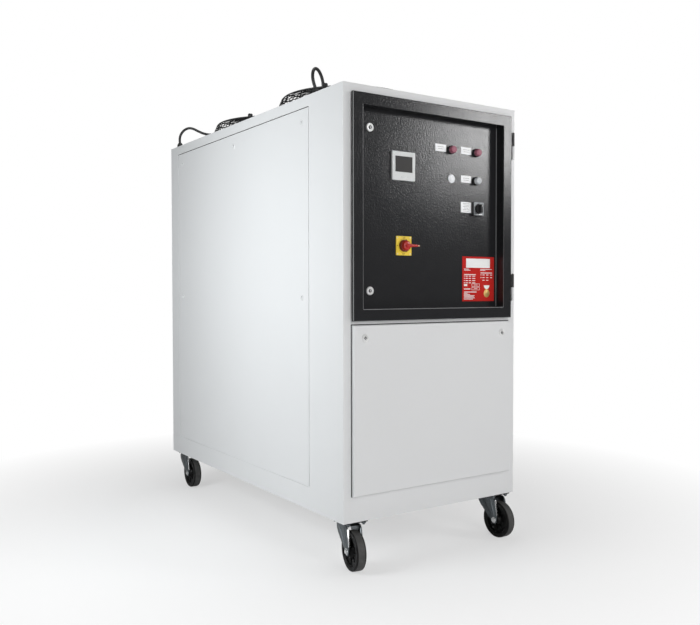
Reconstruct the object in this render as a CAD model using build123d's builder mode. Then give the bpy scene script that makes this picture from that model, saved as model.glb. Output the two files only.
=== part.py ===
from build123d import *
import os
from math import pi, radians, tan

os.makedirs("parts", exist_ok=True)

# A compact water chiller on castors, in millimetres. +Z is up, the front faces -Y, and the
# origin lies on the floor under the middle of the cabinet.

# Cabinet
WIDTH = 750.0
DEPTH = 1450.0
HEIGHT = 1400.0
SHEET = 2.0
BASE_RAIL_HEIGHT = 60.0
BASE_RAIL_WIDTH = 95.0
BASE_RAIL_WALL = 4.0
FLOOR_SHEET = 3.0

# Side panels, set flush in the side walls
SIDE_FRONT_MARGIN = 209.0
SIDE_REAR_MARGIN = 86.0
SIDE_TOP_MARGIN = 38.0
SIDE_BOTTOM_MARGIN = 77.0
SEAM = 3.0
LIP = 22.0
QUARTER_TURN_R = 10.0
QUARTER_TURN_PROUD = 1.5
QUARTER_TURN_INSET = 45.0
QUARTER_TURN_CHAMFER = 0.6
SOCKET = 8.0
SOCKET_DEPTH = 1.0

# Door: a rim that stands proud of the cabinet, and an instrument panel set back in it
PROUD = 15.0
DOOR_WIDTH = 691.0
DOOR_BOTTOM = 646.0
DOOR_TOP_MARGIN = 28.0
DOOR_GAP = 5.5
RIM = 38.0
RECESS = 39.0
OPENING_CLEARANCE = 7.0
HINGE_X = 360.0
HINGE_STANDOFF = 8.0
HINGE_R = 5.0
HINGE_PIN_R = 2.5
PIN_CLEARANCE = 0.08
TURNING_GAP = 0.3
KNUCKLE = 48.0
HINGE_HEIGHTS = (1267.0, 755.0)
LEAF = 2.5

# Lower front panel and rear panel
COVER_WIDTH = 687.0
COVER_BOTTOM = 85.0
COVER_TOP = 633.0
COVER_R = 4.0
COVER_LIP = 30.0
COVER_LOCK_X = 300.0
COVER_LOCK_DROP = 41.0
COVER_LOCK_R = 13.0
COVER_LOCK_PROUD = 3.0
COVER_LOCK_CHAMFER = 1.0
COVER_SOCKET_DEPTH = 1.5

# Control compartment behind the door
COMPARTMENT_DEPTH = 205.0
MOUNTING_PLATE = 2.5
MOUNTING_PLATE_MARGIN = 30.0
STANDOFF = 14.0
STANDOFF_R = 6.0
DUCT_WIDTH = 40.0
DUCT_DEPTH = 45.0
DEVICE_HEIGHT = 85.0
DEVICE_DEPTH = 60.0
DEVICE_GAP = 4.0
DEVICE_WIDTHS = (54.0, 54.0, 72.0, 36.0, 90.0, 45.0)

# Instruments on the door panel, as (x, height above the cabinet's underside)
DOOR_LOCKS = ((-255.5, 1272.7), (-255.5, 742.8))
LOCK_R = 14.0
LOCK_PROUD = 4.0
LOCK_CHAMFER = 1.2
LOCK_BODY_R = 11.0
LOCK_BODY_LENGTH = 20.0
CAM_LENGTH = 42.0
CAM_WIDTH = 16.0
CAM_THICKNESS = 3.0
DISPLAY_AT = (-121.0, 1158.0)
DISPLAY = 96.0
DISPLAY_PROUD = 8.0
DISPLAY_CORNER_R = 3.0
DISPLAY_CHAMFER = 1.2
DISPLAY_BODY = 90.0
DISPLAY_BODY_DEPTH = 38.0
SCREEN_WIDTH = 72.0
SCREEN_HEIGHT = 52.5
SCREEN_RAISE = 6.0
SCREEN_DEPTH = 3.0
SCREEN_THICKNESS = 1.5
MAIN_SWITCH_AT = (-117.5, 893.5)
MAIN_PLATE = 64.0
MAIN_PLATE_THICKNESS = 3.0
MAIN_PLATE_CORNER_R = 2.0
MAIN_SHAFT_R = 6.0
MAIN_COLLAR_R = 22.0
MAIN_COLLAR = 10.0
MAIN_COLLAR_TAPER = 8.0
MAIN_GRIP_R = 19.0
MAIN_GRIP = 14.0
MAIN_GRIP_TAPER = 4.0
MAIN_LEVER_REACH = 51.0
MAIN_LEVER_WIDTH = 11.0
MAIN_LEVER_TIP_R = 3.0
MAIN_LEVER = 8.0
MAIN_BODY = 56.0
MAIN_BODY_DEPTH = 48.0
SELECTOR_AT = (211.0, 1034.0)
SELECTOR = 48.0
SELECTOR_BASE = 11.0
SELECTOR_CORNER_R = 3.0
SELECTOR_SHAFT_R = 5.0
SELECTOR_PLATE = 2.0
SELECTOR_PLATE_MARGIN = 1.0
SELECTOR_KNOB_GAP = 2.0
SELECTOR_KNOB_R = 16.0
SELECTOR_KNOB = 6.0
SELECTOR_GRIP_LENGTH = 30.0
SELECTOR_GRIP = 14.0
SELECTOR_GRIP_WIDTH = 9.0
SELECTOR_GRIP_TAPER = 4.0
SELECTOR_BODY_DEPTH = 42.0
RED_LAMPS = ((90.0, 1232.7), (206.5, 1232.7))
CLEAR_LAMPS = ((206.5, 1133.0),)
PLUG_AT = (91.0, 1133.0)
LAMP_R = 14.75
LAMP_BEZEL = 6.0
LAMP_BEZEL_TAPER = 3.0
LENS_R = 12.5
LENS_SEAT = 2.0
LENS_PROUD = 21.0
LENS_EDGE_R = 3.5
LAMP_BODY_R = 11.0
LAMP_BODY_DEPTH = 36.0
PLUG_R = 15.5
PLUG_PROUD = 5.0
PLUG_CHAMFER = 1.5
PLUG_SHANK = 7.0
CUT_OUT_CLEARANCE = 0.25
LABEL_WIDTH = 48.0
LABEL_HEIGHT = 25.0
TALL_LABEL_HEIGHT = 37.0
LABEL_THICKNESS = 1.0
LABEL_SHIFT = -46.0
LABEL_RAISE = 3.5
NOTICE_AT = (220.3, 785.0)
NOTICE_WIDTH = 152.0
NOTICE_HEIGHT = 159.0

# Roof fans
FAN_PITCH = 604.0
FAN_MIDDLE_Y = 118.0
FAN_R = 246.0
TIP_CLEARANCE = 8.0
RING_FLANGE_R = 292.0
RING_DEPTH = 62.0
RING_SHEET = 3.0
RING_HOLE_CLEARANCE = 2.0
GUARD_R = 288.0
GUARD_TOP_R = 254.0
GUARD_HEIGHT = 96.0
WIRE = 5.0
GUARD_SIDES = 36
GUARD_SPOKES = 8
GUARD_FIRST_SPOKE = 15.0
GUARD_CLIP_AT = 217.5
GUARD_CLIP_WIDTH = 20.0
GUARD_CLIP_DEPTH = 12.0
GUARD_CLIP_RISE = 11.0
GUARD_INNER_RINGS = (183.0, 119.0)
MOTOR_PLATE_R = 62.0
MOTOR_R = 58.0
MOTOR_HEIGHT = 22.0
HUB_R = 70.0
HUB_HEIGHT = 118.0
HUB_GAP = 6.0
SHAFT_R = 8.0
BLADES = 5
BLADE_THICKNESS = 3.0
BLADE_RAISE = 14.0
BLADE_ROOT_DEPTH = 14.0
BLADE_MIDDLE_R = 152.0
BLADE_CHORDS = (104.0, 132.0, 158.0)
BLADE_PITCHES = (42.0, 31.0, 23.0)
BLADE_LEANS = (0.0, 10.0, 34.0)

# Condenser under the fans
CONDENSER_DROP = 150.0
CONDENSER_HEIGHT = 66.0
CONDENSER_WIDTH = 640.0
CONDENSER_MARGIN = 30.0
CONDENSER_FLANGE = 3.0
RAIL_WIDTH = 45.0
RAIL_CLEARANCE = 3.0

# Cable glands and fan leads on the roof
GLAND_INSET = 21.0
GLAND_FROM_FRONT = 197.0
GLAND_FROM_REAR = 57.0
GLAND_R = 11.0
GLAND_HEIGHT = 22.0
GLAND_TAPER = 6.0
GLAND_SHANK = 11.0
GLAND_FLANGE_R = 14.0
GLAND_FLANGE = 5.0
LEAD_R = 5.5
LEAD_SEAT = 4.0

# The leads' routes between gland and motor. A point is the distance from the gland towards the
# fan's middle, the distance aside of that line, and the height above the roof.
LEAD_ROUTES = {
    "front": (
        (-4.0, 7.0, 40.0),
        (-4.0, 10.0, 62.0),
        (8.0, 11.0, 82.0),
        (28.0, 9.0, 96.0),
        (50.0, 4.0, 96.0),
        (68.0, -1.0, 84.0),
        (83.0, -4.0, 66.0),
        (92.0, -3.0, 46.0),
        (112.0, -1.0, 32.0),
        (144.0, 0.0, 33.0),
        (182.0, 0.0, 48.0),
        (222.0, 0.0, 62.0),
        (266.0, 0.0, 73.0),
        (316.0, 0.0, 80.0),
        (380.0, 0.0, 82.0),
    ),
    "rear": (
        (-3.0, 0.0, 36.0),
        (2.0, 0.0, 60.0),
        (18.0, 0.0, 81.0),
        (40.0, 0.0, 91.0),
        (62.0, 0.0, 87.0),
        (86.0, 0.0, 74.0),
        (112.0, 0.0, 63.0),
        (142.0, 0.0, 59.0),
        (180.0, 0.0, 63.0),
        (222.0, 0.0, 73.0),
        (268.0, 0.0, 79.0),
        (322.0, 0.0, 82.0),
    ),
}

# Castors
CASTOR_HEIGHT = 160.0
CASTOR_INSET_X = 57.0
CASTOR_INSET_Y = 53.0
CASTOR_PLATE_X = 85.0
CASTOR_PLATE_Y = 105.0
CASTOR_PLATE = 3.5
CASTOR_PLATE_CORNER_R = 8.0
BOLT_SPACING_X = 60.0
BOLT_SPACING_Y = 80.0
BOLT_HOLE_R = 4.5
RACE_R = 30.0
RACE_HEIGHT = 9.0
RACE_TAPER = 12.0
KING_PIN_R = 6.0
KING_PIN = 6.0
CROWN = 5.0
WHEEL_R = 65.0
WHEEL_WIDTH = 34.0
TYRE_EDGE = 5.0
TYRE_DEPTH = 16.0
WEB_INSET = 6.0
WHEEL_HUB_R = 17.0
WHEEL_SIDE_GAP = 5.0
HUB_SIDE_GAP = 0.5
FORK_LEG = 4.0
FORK_TOP_WIDTH = 62.0
FORK_BOSS_R = 15.0
TRAIL = 38.0
AXLE_R = 5.0
AXLE_HEAD_R = 9.0
AXLE_HEAD = 5.0
CASTOR_TURNS = {"front_left": -10.0, "front_right": 0.0, "rear_left": 0.0, "rear_right": 170.0}

# Rear: air-intake grille and water connections
GRILLE_WIDTH = 620.0
GRILLE_BOTTOM = 190.0
GRILLE_TOP = 610.0
GRILLE_FRAME = 18.0
LOUVRES = 14
LOUVRE_DEPTH = 12.0
LOUVRE_SHEET = 2.0
LOUVRE_TILT = 35.0
PORTS_X = (110.0, 260.0)
PORT_HEIGHT = 125.0
PORT_BORE_R = 15.15
PORT_R = 19.0
PORT_HEX = 46.0
PORT_PROUD = 12.0
PORT_DEPTH = 30.0
MAINS_GLAND_X = -180.0
MAINS_BORE_R = 9.0
MAINS_THREAD_R = 12.5
MAINS_GLAND_R = 17.0
MAINS_GLAND_PROUD = 14.0

# Levels and planes that the sizes above lead to
FOLD_R = 0.75 * SHEET
FLOOR_Z = CASTOR_HEIGHT
ROOF_Z = FLOOR_Z + HEIGHT
FRONT_Y = -DEPTH / 2
REAR_Y = DEPTH / 2
SIDE_X = WIDTH / 2
RIM_FACE_Y = FRONT_Y - PROUD
PANEL_Y = RIM_FACE_Y + RECESS
DOOR_Z0 = FLOOR_Z + DOOR_BOTTOM
DOOR_Z1 = ROOF_Z - DOOR_TOP_MARGIN
DOOR_MID_Z = (DOOR_Z0 + DOOR_Z1) / 2
DOOR_HEIGHT = DOOR_Z1 - DOOR_Z0
INNER_DOOR_WIDTH = DOOR_WIDTH - 2 * RIM
INNER_DOOR_HEIGHT = DOOR_HEIGHT - 2 * RIM
PAN_WIDTH = INNER_DOOR_WIDTH + 2 * SHEET
PAN_HEIGHT = INNER_DOOR_HEIGHT + 2 * SHEET
MOUTH_WIDTH = PAN_WIDTH + 2 * OPENING_CLEARANCE
MOUTH_HEIGHT = PAN_HEIGHT + 2 * OPENING_CLEARANCE
FAN_CENTRES = {"front": FAN_MIDDLE_Y - FAN_PITCH / 2, "rear": FAN_MIDDLE_Y + FAN_PITCH / 2}
GLANDS = {
    "front": (GLAND_INSET - SIDE_X, FRONT_Y + GLAND_FROM_FRONT),
    "rear": (GLAND_INSET - SIDE_X, REAR_Y - GLAND_FROM_REAR),
}
RING_R = FAN_R + TIP_CLEARANCE
GUARD_TOP_Z = ROOF_Z + GUARD_HEIGHT


def keep(builder, label):
    """Name a finished piece and write it to its own file."""
    builder.part.label = label
    export_step(builder.part, f"parts/{label}.step")


def facing_front(y):
    """An upright plane at y that looks forwards: its x runs along X and its y along Z."""
    return Plane(origin=(0, y, 0), x_dir=(1, 0, 0), z_dir=(0, -1, 0))


def on_door(place, y=PANEL_Y):
    """The plane of an instrument, with its origin at the instrument's middle."""
    return Plane(origin=(place[0], y, FLOOR_Z + place[1]), x_dir=(1, 0, 0), z_dir=(0, -1, 0))


# Base frame: a floor sheet inside inward-facing channels, with holes for the castor bolts
SWIVELS = {
    f"{row}_{side}": (sx * (SIDE_X - CASTOR_INSET_X), sy * (REAR_Y - CASTOR_INSET_Y))
    for row, sy in (("front", -1), ("rear", 1))
    for side, sx in (("left", -1), ("right", 1))
}

with BuildPart() as base_frame:
    with BuildSketch(Plane.XY.offset(FLOOR_Z)):
        Rectangle(WIDTH - 2 * SHEET, DEPTH - 2 * SHEET)
        with Locations(*SWIVELS.values()):
            with GridLocations(BOLT_SPACING_X, BOLT_SPACING_Y, 2, 2):
                Circle(BOLT_HOLE_R, mode=Mode.SUBTRACT)
    extrude(amount=FLOOR_SHEET)
    with BuildSketch(Plane.XY.offset(FLOOR_Z)):
        Rectangle(WIDTH - 2 * SHEET, DEPTH - 2 * SHEET)
        offset(amount=-BASE_RAIL_WALL, mode=Mode.SUBTRACT)
    extrude(amount=BASE_RAIL_HEIGHT)
    with BuildSketch(Plane.XY.offset(FLOOR_Z + BASE_RAIL_HEIGHT)):
        Rectangle(WIDTH - 2 * SHEET, DEPTH - 2 * SHEET)
        Rectangle(WIDTH - 2 * BASE_RAIL_WIDTH, DEPTH - 2 * BASE_RAIL_WIDTH, mode=Mode.SUBTRACT)
    extrude(amount=-BASE_RAIL_WALL)
keep(base_frame, "base_frame")

# Side walls and their lift-off panels
SIDE_OPENING_Y0 = FRONT_Y + SIDE_FRONT_MARGIN
SIDE_OPENING_Y1 = REAR_Y - SIDE_REAR_MARGIN
SIDE_OPENING_Z0 = FLOOR_Z + SIDE_BOTTOM_MARGIN
SIDE_OPENING_Z1 = ROOF_Z - SIDE_TOP_MARGIN
SIDE_OPENING_AT = (
    (SIDE_OPENING_Y0 + SIDE_OPENING_Y1) / 2,
    (SIDE_OPENING_Z0 + SIDE_OPENING_Z1) / 2,
)
SIDE_OPENING_LENGTH = SIDE_OPENING_Y1 - SIDE_OPENING_Y0
SIDE_OPENING_HEIGHT = SIDE_OPENING_Z1 - SIDE_OPENING_Z0
CONDENSER_Z = ROOF_Z - CONDENSER_DROP - CONDENSER_HEIGHT
TURN_Y0 = SIDE_OPENING_Y0 + SEAM + QUARTER_TURN_INSET
TURN_Y1 = SIDE_OPENING_Y1 - SEAM - QUARTER_TURN_INSET
TURN_TOP_Z = SIDE_OPENING_Z1 - SEAM - QUARTER_TURN_INSET
TURN_MID_Z = SIDE_OPENING_AT[1]
TURNS = (
    (TURN_Y0, TURN_TOP_Z),
    (SIDE_OPENING_AT[0], TURN_TOP_Z),
    (TURN_Y1, TURN_TOP_Z),
    (TURN_Y0, TURN_MID_Z),
    (TURN_Y1, TURN_MID_Z),
)

for side, sign in (("left", -1), ("right", 1)):
    outer = Plane.YZ.offset(sign * SIDE_X)
    inner = Plane.YZ.offset(sign * (SIDE_X - SHEET))
    with BuildPart() as side_wall:
        with BuildSketch(outer):
            with Locations((0, FLOOR_Z + (HEIGHT - SHEET) / 2)):
                Rectangle(DEPTH - 2 * SHEET, HEIGHT - SHEET)
            with Locations(SIDE_OPENING_AT):
                Rectangle(SIDE_OPENING_LENGTH, SIDE_OPENING_HEIGHT, mode=Mode.SUBTRACT)
        extrude(amount=-sign * SHEET)
        with BuildSketch(inner):
            with Locations(SIDE_OPENING_AT):
                Rectangle(SIDE_OPENING_LENGTH + LIP, SIDE_OPENING_HEIGHT + LIP)
                Rectangle(SIDE_OPENING_LENGTH - LIP, SIDE_OPENING_HEIGHT - LIP, mode=Mode.SUBTRACT)
        extrude(amount=-sign * SHEET)
    keep(side_wall, f"{side}_side_wall")

    with BuildPart() as side_panel:
        with BuildSketch(outer):
            with Locations(SIDE_OPENING_AT):
                Rectangle(SIDE_OPENING_LENGTH - 2 * SEAM, SIDE_OPENING_HEIGHT - 2 * SEAM)
        extrude(amount=-sign * SHEET)
    keep(side_panel, f"{side}_side_panel")

# Angles on the inside of the side walls, on which the condenser lies
with BuildPart() as condenser_rails:
    with BuildSketch(Plane.XZ.offset(-SIDE_OPENING_Y1 - LIP / 2)):
        for sign in (-1, 1):
            wall_x = sign * (SIDE_X - 2 * SHEET)
            with BuildLine():
                Polyline(
                    (wall_x, CONDENSER_Z),
                    (wall_x - sign * RAIL_WIDTH, CONDENSER_Z),
                    (wall_x - sign * RAIL_WIDTH, CONDENSER_Z - SHEET),
                    (wall_x - sign * SHEET, CONDENSER_Z - SHEET),
                    (wall_x - sign * SHEET, CONDENSER_Z - RAIL_WIDTH),
                    (wall_x, CONDENSER_Z - RAIL_WIDTH),
                    close=True,
                )
            make_face()
    extrude(amount=SIDE_OPENING_LENGTH + LIP)
keep(condenser_rails, "condenser_rails")

# Front wall with the door's mouth above and the lower opening
with BuildPart() as front_wall:
    with BuildSketch(facing_front(FRONT_Y + SHEET)):
        with Locations((0, FLOOR_Z + (HEIGHT - SHEET) / 2)):
            Rectangle(WIDTH, HEIGHT - SHEET)
        with Locations((0, DOOR_MID_Z)):
            Rectangle(MOUTH_WIDTH, MOUTH_HEIGHT, mode=Mode.SUBTRACT)
        with Locations((0, FLOOR_Z + (COVER_BOTTOM + COVER_TOP) / 2)):
            Rectangle(
                COVER_WIDTH - 2 * COVER_LIP, COVER_TOP - COVER_BOTTOM - 2 * COVER_LIP, mode=Mode.SUBTRACT
            )
    extrude(amount=SHEET)
    corners = front_wall.edges().filter_by(Axis.Z).group_by(Axis.Y)[0].sort_by(Axis.X)
    fillet([corners[0], corners[-1]], FOLD_R)
keep(front_wall, "front_wall")

# Rear wall with the panel's and the grille's openings, the water ports and the mains entry
with BuildPart() as rear_wall:
    with BuildSketch(facing_front(REAR_Y)):
        with Locations((0, FLOOR_Z + (HEIGHT - SHEET) / 2)):
            Rectangle(WIDTH, HEIGHT - SHEET)
        with Locations((0, DOOR_MID_Z)):
            Rectangle(COVER_WIDTH - 2 * COVER_LIP, DOOR_HEIGHT - 2 * COVER_LIP, mode=Mode.SUBTRACT)
        with Locations((0, FLOOR_Z + (GRILLE_BOTTOM + GRILLE_TOP) / 2)):
            Rectangle(
                GRILLE_WIDTH - 2 * GRILLE_FRAME,
                GRILLE_TOP - GRILLE_BOTTOM - 2 * GRILLE_FRAME,
                mode=Mode.SUBTRACT,
            )
        with Locations(*((x, FLOOR_Z + PORT_HEIGHT) for x in PORTS_X)):
            Circle(PORT_R, mode=Mode.SUBTRACT)
        with Locations((MAINS_GLAND_X, FLOOR_Z + PORT_HEIGHT)):
            Circle(MAINS_THREAD_R, mode=Mode.SUBTRACT)
    extrude(amount=SHEET)
    corners = rear_wall.edges().filter_by(Axis.Z).group_by(Axis.Y)[-1].sort_by(Axis.X)
    fillet([corners[0], corners[-1]], FOLD_R)
keep(rear_wall, "rear_wall")

# Roof with a round mouth under each fan and holes for the lead glands
with BuildPart() as roof:
    with BuildSketch(Plane.XY.offset(ROOF_Z - SHEET)):
        Rectangle(WIDTH, DEPTH)
        with Locations(*((0, y) for y in FAN_CENTRES.values())):
            Circle(RING_R + RING_SHEET + RING_HOLE_CLEARANCE, mode=Mode.SUBTRACT)
        with Locations(*GLANDS.values()):
            Circle(GLAND_R, mode=Mode.SUBTRACT)
    extrude(amount=SHEET)
    fillet(roof.edges().group_by(Axis.Z)[-1].filter_by(GeomType.LINE), FOLD_R)
keep(roof, "roof")

# Control compartment: a folded box behind the door's mouth
BOX_WIDTH = MOUTH_WIDTH + 2 * SHEET
BOX_HEIGHT = MOUTH_HEIGHT + 2 * SHEET
BOX_FRONT_Y = FRONT_Y + SHEET
BOX_BACK_Y = BOX_FRONT_Y + COMPARTMENT_DEPTH

with BuildPart() as control_box:
    with BuildSketch(facing_front(BOX_BACK_Y)):
        with Locations((0, DOOR_MID_Z)):
            Rectangle(BOX_WIDTH, BOX_HEIGHT)
    extrude(amount=COMPARTMENT_DEPTH)
    mouth = control_box.faces().sort_by(Axis.Y)[0]
    offset(amount=-SHEET, openings=mouth)
keep(control_box, "control_box")

# Mounting plate on standoffs, with wiring ducts and two rows of devices
PLATE_BACK_Y = BOX_BACK_Y - SHEET - STANDOFF
PLATE_WIDTH = MOUTH_WIDTH - 2 * MOUNTING_PLATE_MARGIN
PLATE_HEIGHT = MOUTH_HEIGHT - 2 * MOUNTING_PLATE_MARGIN
PLATE_FRONT_Y = PLATE_BACK_Y - MOUNTING_PLATE

with BuildPart() as mounting_plate:
    with BuildSketch(facing_front(PLATE_BACK_Y)):
        with Locations((0, DOOR_MID_Z)):
            Rectangle(PLATE_WIDTH, PLATE_HEIGHT)
    extrude(amount=MOUNTING_PLATE)
    with BuildSketch(facing_front(BOX_BACK_Y - SHEET)):
        with Locations((0, DOOR_MID_Z)):
            with GridLocations(PLATE_WIDTH - DUCT_WIDTH, PLATE_HEIGHT - DUCT_WIDTH, 2, 2):
                Circle(STANDOFF_R)
    extrude(amount=STANDOFF)
keep(mounting_plate, "mounting_plate")

DUCT_LEVELS = (PLATE_HEIGHT / 2 - DUCT_WIDTH, 0.0, DUCT_WIDTH - PLATE_HEIGHT / 2)

DEVICE_LEVELS = (DUCT_LEVELS[0] / 2, DUCT_LEVELS[2] / 2)
DEVICE_ROW = sum(DEVICE_WIDTHS) + DEVICE_GAP * (len(DEVICE_WIDTHS) - 1)

with BuildPart() as switchgear:
    with BuildSketch(facing_front(PLATE_FRONT_Y)):
        with Locations(*((0, DOOR_MID_Z + level) for level in DUCT_LEVELS)):
            Rectangle(PLATE_WIDTH - 2 * DUCT_WIDTH, DUCT_WIDTH)
    extrude(amount=DUCT_DEPTH)
    with BuildSketch(facing_front(PLATE_FRONT_Y)):
        for level in DEVICE_LEVELS:
            left = -DEVICE_ROW / 2
            for width in DEVICE_WIDTHS:
                with Locations((left + width / 2, DOOR_MID_Z + level)):
                    Rectangle(width, DEVICE_HEIGHT)
                left += width + DEVICE_GAP
    extrude(amount=DEVICE_DEPTH)
keep(switchgear, "switchgear")

# Door rim: face, outer return and the deeper inner return that carries the panel
with BuildPart() as door_rim:
    with BuildSketch(facing_front(RIM_FACE_Y + SHEET)):
        with Locations((0, DOOR_MID_Z)):
            Rectangle(DOOR_WIDTH, DOOR_HEIGHT)
            Rectangle(INNER_DOOR_WIDTH, INNER_DOOR_HEIGHT, mode=Mode.SUBTRACT)
    extrude(amount=SHEET)
    with BuildSketch(facing_front(RIM_FACE_Y + SHEET)):
        with Locations((0, DOOR_MID_Z)):
            Rectangle(DOOR_WIDTH, DOOR_HEIGHT)
            Rectangle(DOOR_WIDTH - 2 * SHEET, DOOR_HEIGHT - 2 * SHEET, mode=Mode.SUBTRACT)
    extrude(amount=-(PROUD - DOOR_GAP - SHEET))
    with BuildSketch(facing_front(RIM_FACE_Y + SHEET)):
        with Locations((0, DOOR_MID_Z)):
            Rectangle(PAN_WIDTH, PAN_HEIGHT)
            Rectangle(INNER_DOOR_WIDTH, INNER_DOOR_HEIGHT, mode=Mode.SUBTRACT)
    extrude(amount=-(RECESS - SHEET))
    front_edges = door_rim.edges().filter_by(GeomType.LINE).group_by(Axis.Y)[0]
    fillet(front_edges, FOLD_R)
keep(door_rim, "door_rim")

# Door panel with the instruments' cut-outs
LAMPS = RED_LAMPS + CLEAR_LAMPS

with BuildPart() as door_panel:
    with BuildSketch(facing_front(PANEL_Y + SHEET)):
        with Locations((0, DOOR_MID_Z)):
            Rectangle(PAN_WIDTH, PAN_HEIGHT)
        with Locations(*((x, FLOOR_Z + z) for x, z in DOOR_LOCKS)):
            Circle(LOCK_BODY_R + CUT_OUT_CLEARANCE, mode=Mode.SUBTRACT)
        with Locations(*((x, FLOOR_Z + z) for x, z in LAMPS + (PLUG_AT, SELECTOR_AT, MAIN_SWITCH_AT))):
            Circle(LAMP_BODY_R + CUT_OUT_CLEARANCE, mode=Mode.SUBTRACT)
        with Locations((DISPLAY_AT[0], FLOOR_Z + DISPLAY_AT[1])):
            Rectangle(
                DISPLAY_BODY + 2 * CUT_OUT_CLEARANCE,
                DISPLAY_BODY + 2 * CUT_OUT_CLEARANCE,
                mode=Mode.SUBTRACT,
            )
    extrude(amount=SHEET)
keep(door_panel, "door_panel")

# Quarter-turn locks of the door, turned open, with a square socket and a cam behind
with BuildPart() as door_locks:
    for place in DOOR_LOCKS:
        with BuildSketch(on_door(place)):
            Circle(LOCK_R)
        extrude(amount=LOCK_PROUD)
        with BuildSketch(on_door(place)):
            Circle(LOCK_BODY_R)
        extrude(amount=-(SHEET + LOCK_BODY_LENGTH))
        with BuildSketch(on_door(place, PANEL_Y + SHEET + LOCK_BODY_LENGTH)):
            with Locations((0, -CAM_LENGTH / 2 + CAM_WIDTH / 2)):
                SlotOverall(CAM_LENGTH, CAM_WIDTH, rotation=90)
        extrude(amount=-CAM_THICKNESS)
    chamfer(door_locks.edges().filter_by(GeomType.CIRCLE).group_by(Axis.Y)[0], LOCK_CHAMFER)
    for place in DOOR_LOCKS:
        with BuildSketch(on_door(place, PANEL_Y - LOCK_PROUD)):
            Rectangle(SOCKET, SOCKET, rotation=45)
        extrude(amount=-LOCK_PROUD, mode=Mode.SUBTRACT)
keep(door_locks, "door_locks")

# Display: bezel with a body behind the panel, and the screen set in the bezel
with BuildPart() as display_housing:
    with BuildSketch(on_door(DISPLAY_AT)):
        RectangleRounded(DISPLAY, DISPLAY, DISPLAY_CORNER_R)
    extrude(amount=DISPLAY_PROUD)
    chamfer(display_housing.faces().sort_by(Axis.Y)[0].edges(), DISPLAY_CHAMFER)
    with BuildSketch(on_door(DISPLAY_AT)):
        Rectangle(DISPLAY_BODY, DISPLAY_BODY)
    extrude(amount=-(SHEET + DISPLAY_BODY_DEPTH))
    with BuildSketch(on_door(DISPLAY_AT, PANEL_Y - DISPLAY_PROUD)):
        with Locations((0, SCREEN_RAISE)):
            Rectangle(SCREEN_WIDTH, SCREEN_HEIGHT)
    extrude(amount=-SCREEN_DEPTH, mode=Mode.SUBTRACT)
keep(display_housing, "display_housing")

with BuildPart() as display_screen:
    with BuildSketch(on_door(DISPLAY_AT, PANEL_Y - DISPLAY_PROUD + SCREEN_DEPTH)):
        with Locations((0, SCREEN_RAISE)):
            Rectangle(SCREEN_WIDTH, SCREEN_HEIGHT)
    extrude(amount=SCREEN_THICKNESS)
keep(display_screen, "display_screen")

# Main switch: plate, body behind the panel and the rotary handle with its lever
with BuildPart() as main_switch_plate:
    with BuildSketch(on_door(MAIN_SWITCH_AT)):
        RectangleRounded(MAIN_PLATE, MAIN_PLATE, MAIN_PLATE_CORNER_R)
        Circle(MAIN_SHAFT_R + PIN_CLEARANCE, mode=Mode.SUBTRACT)
    extrude(amount=MAIN_PLATE_THICKNESS)
keep(main_switch_plate, "main_switch_plate")

with BuildPart() as main_switch_body:
    with BuildSketch(on_door(MAIN_SWITCH_AT, PANEL_Y + SHEET)):
        Rectangle(MAIN_BODY, MAIN_BODY)
        Circle(MAIN_SHAFT_R + PIN_CLEARANCE, mode=Mode.SUBTRACT)
    extrude(amount=-MAIN_BODY_DEPTH)
keep(main_switch_body, "main_switch_body")

MAIN_HANDLE_Y = PANEL_Y - MAIN_PLATE_THICKNESS - TURNING_GAP
MAIN_LEVER_Y = MAIN_HANDLE_Y - MAIN_COLLAR - (MAIN_GRIP - MAIN_LEVER) / 2

with BuildPart() as main_switch_handle:
    with BuildSketch(on_door(MAIN_SWITCH_AT, MAIN_HANDLE_Y)):
        Circle(MAIN_COLLAR_R)
    extrude(amount=MAIN_COLLAR, taper=MAIN_COLLAR_TAPER)
    with BuildSketch(on_door(MAIN_SWITCH_AT, MAIN_HANDLE_Y - MAIN_COLLAR)):
        Circle(MAIN_GRIP_R)
    extrude(amount=MAIN_GRIP, taper=MAIN_GRIP_TAPER)
    with BuildSketch(on_door(MAIN_SWITCH_AT, MAIN_LEVER_Y)):
        with Locations((MAIN_LEVER_REACH - MAIN_LEVER_TIP_R, 0)):
            Circle(MAIN_LEVER_TIP_R)
        with Locations((0, 0)):
            Circle(MAIN_LEVER_WIDTH / 2)
        make_hull()
    extrude(amount=MAIN_LEVER)
    with BuildSketch(on_door(MAIN_SWITCH_AT, MAIN_HANDLE_Y)):
        Circle(MAIN_SHAFT_R)
    extrude(amount=-(MAIN_PLATE_THICKNESS + TURNING_GAP + SHEET + MAIN_BODY_DEPTH / 2))
keep(main_switch_handle, "main_switch_handle")

# Selector switch
with BuildPart() as selector_base:
    with BuildSketch(on_door(SELECTOR_AT)):
        RectangleRounded(SELECTOR, SELECTOR, SELECTOR_CORNER_R)
        Circle(SELECTOR_SHAFT_R + PIN_CLEARANCE, mode=Mode.SUBTRACT)
    extrude(amount=SELECTOR_BASE)
    with BuildSketch(on_door(SELECTOR_AT)):
        Circle(LAMP_BODY_R)
        Circle(SELECTOR_SHAFT_R + PIN_CLEARANCE, mode=Mode.SUBTRACT)
    extrude(amount=-SELECTOR_BODY_DEPTH)
keep(selector_base, "selector_base")

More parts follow.
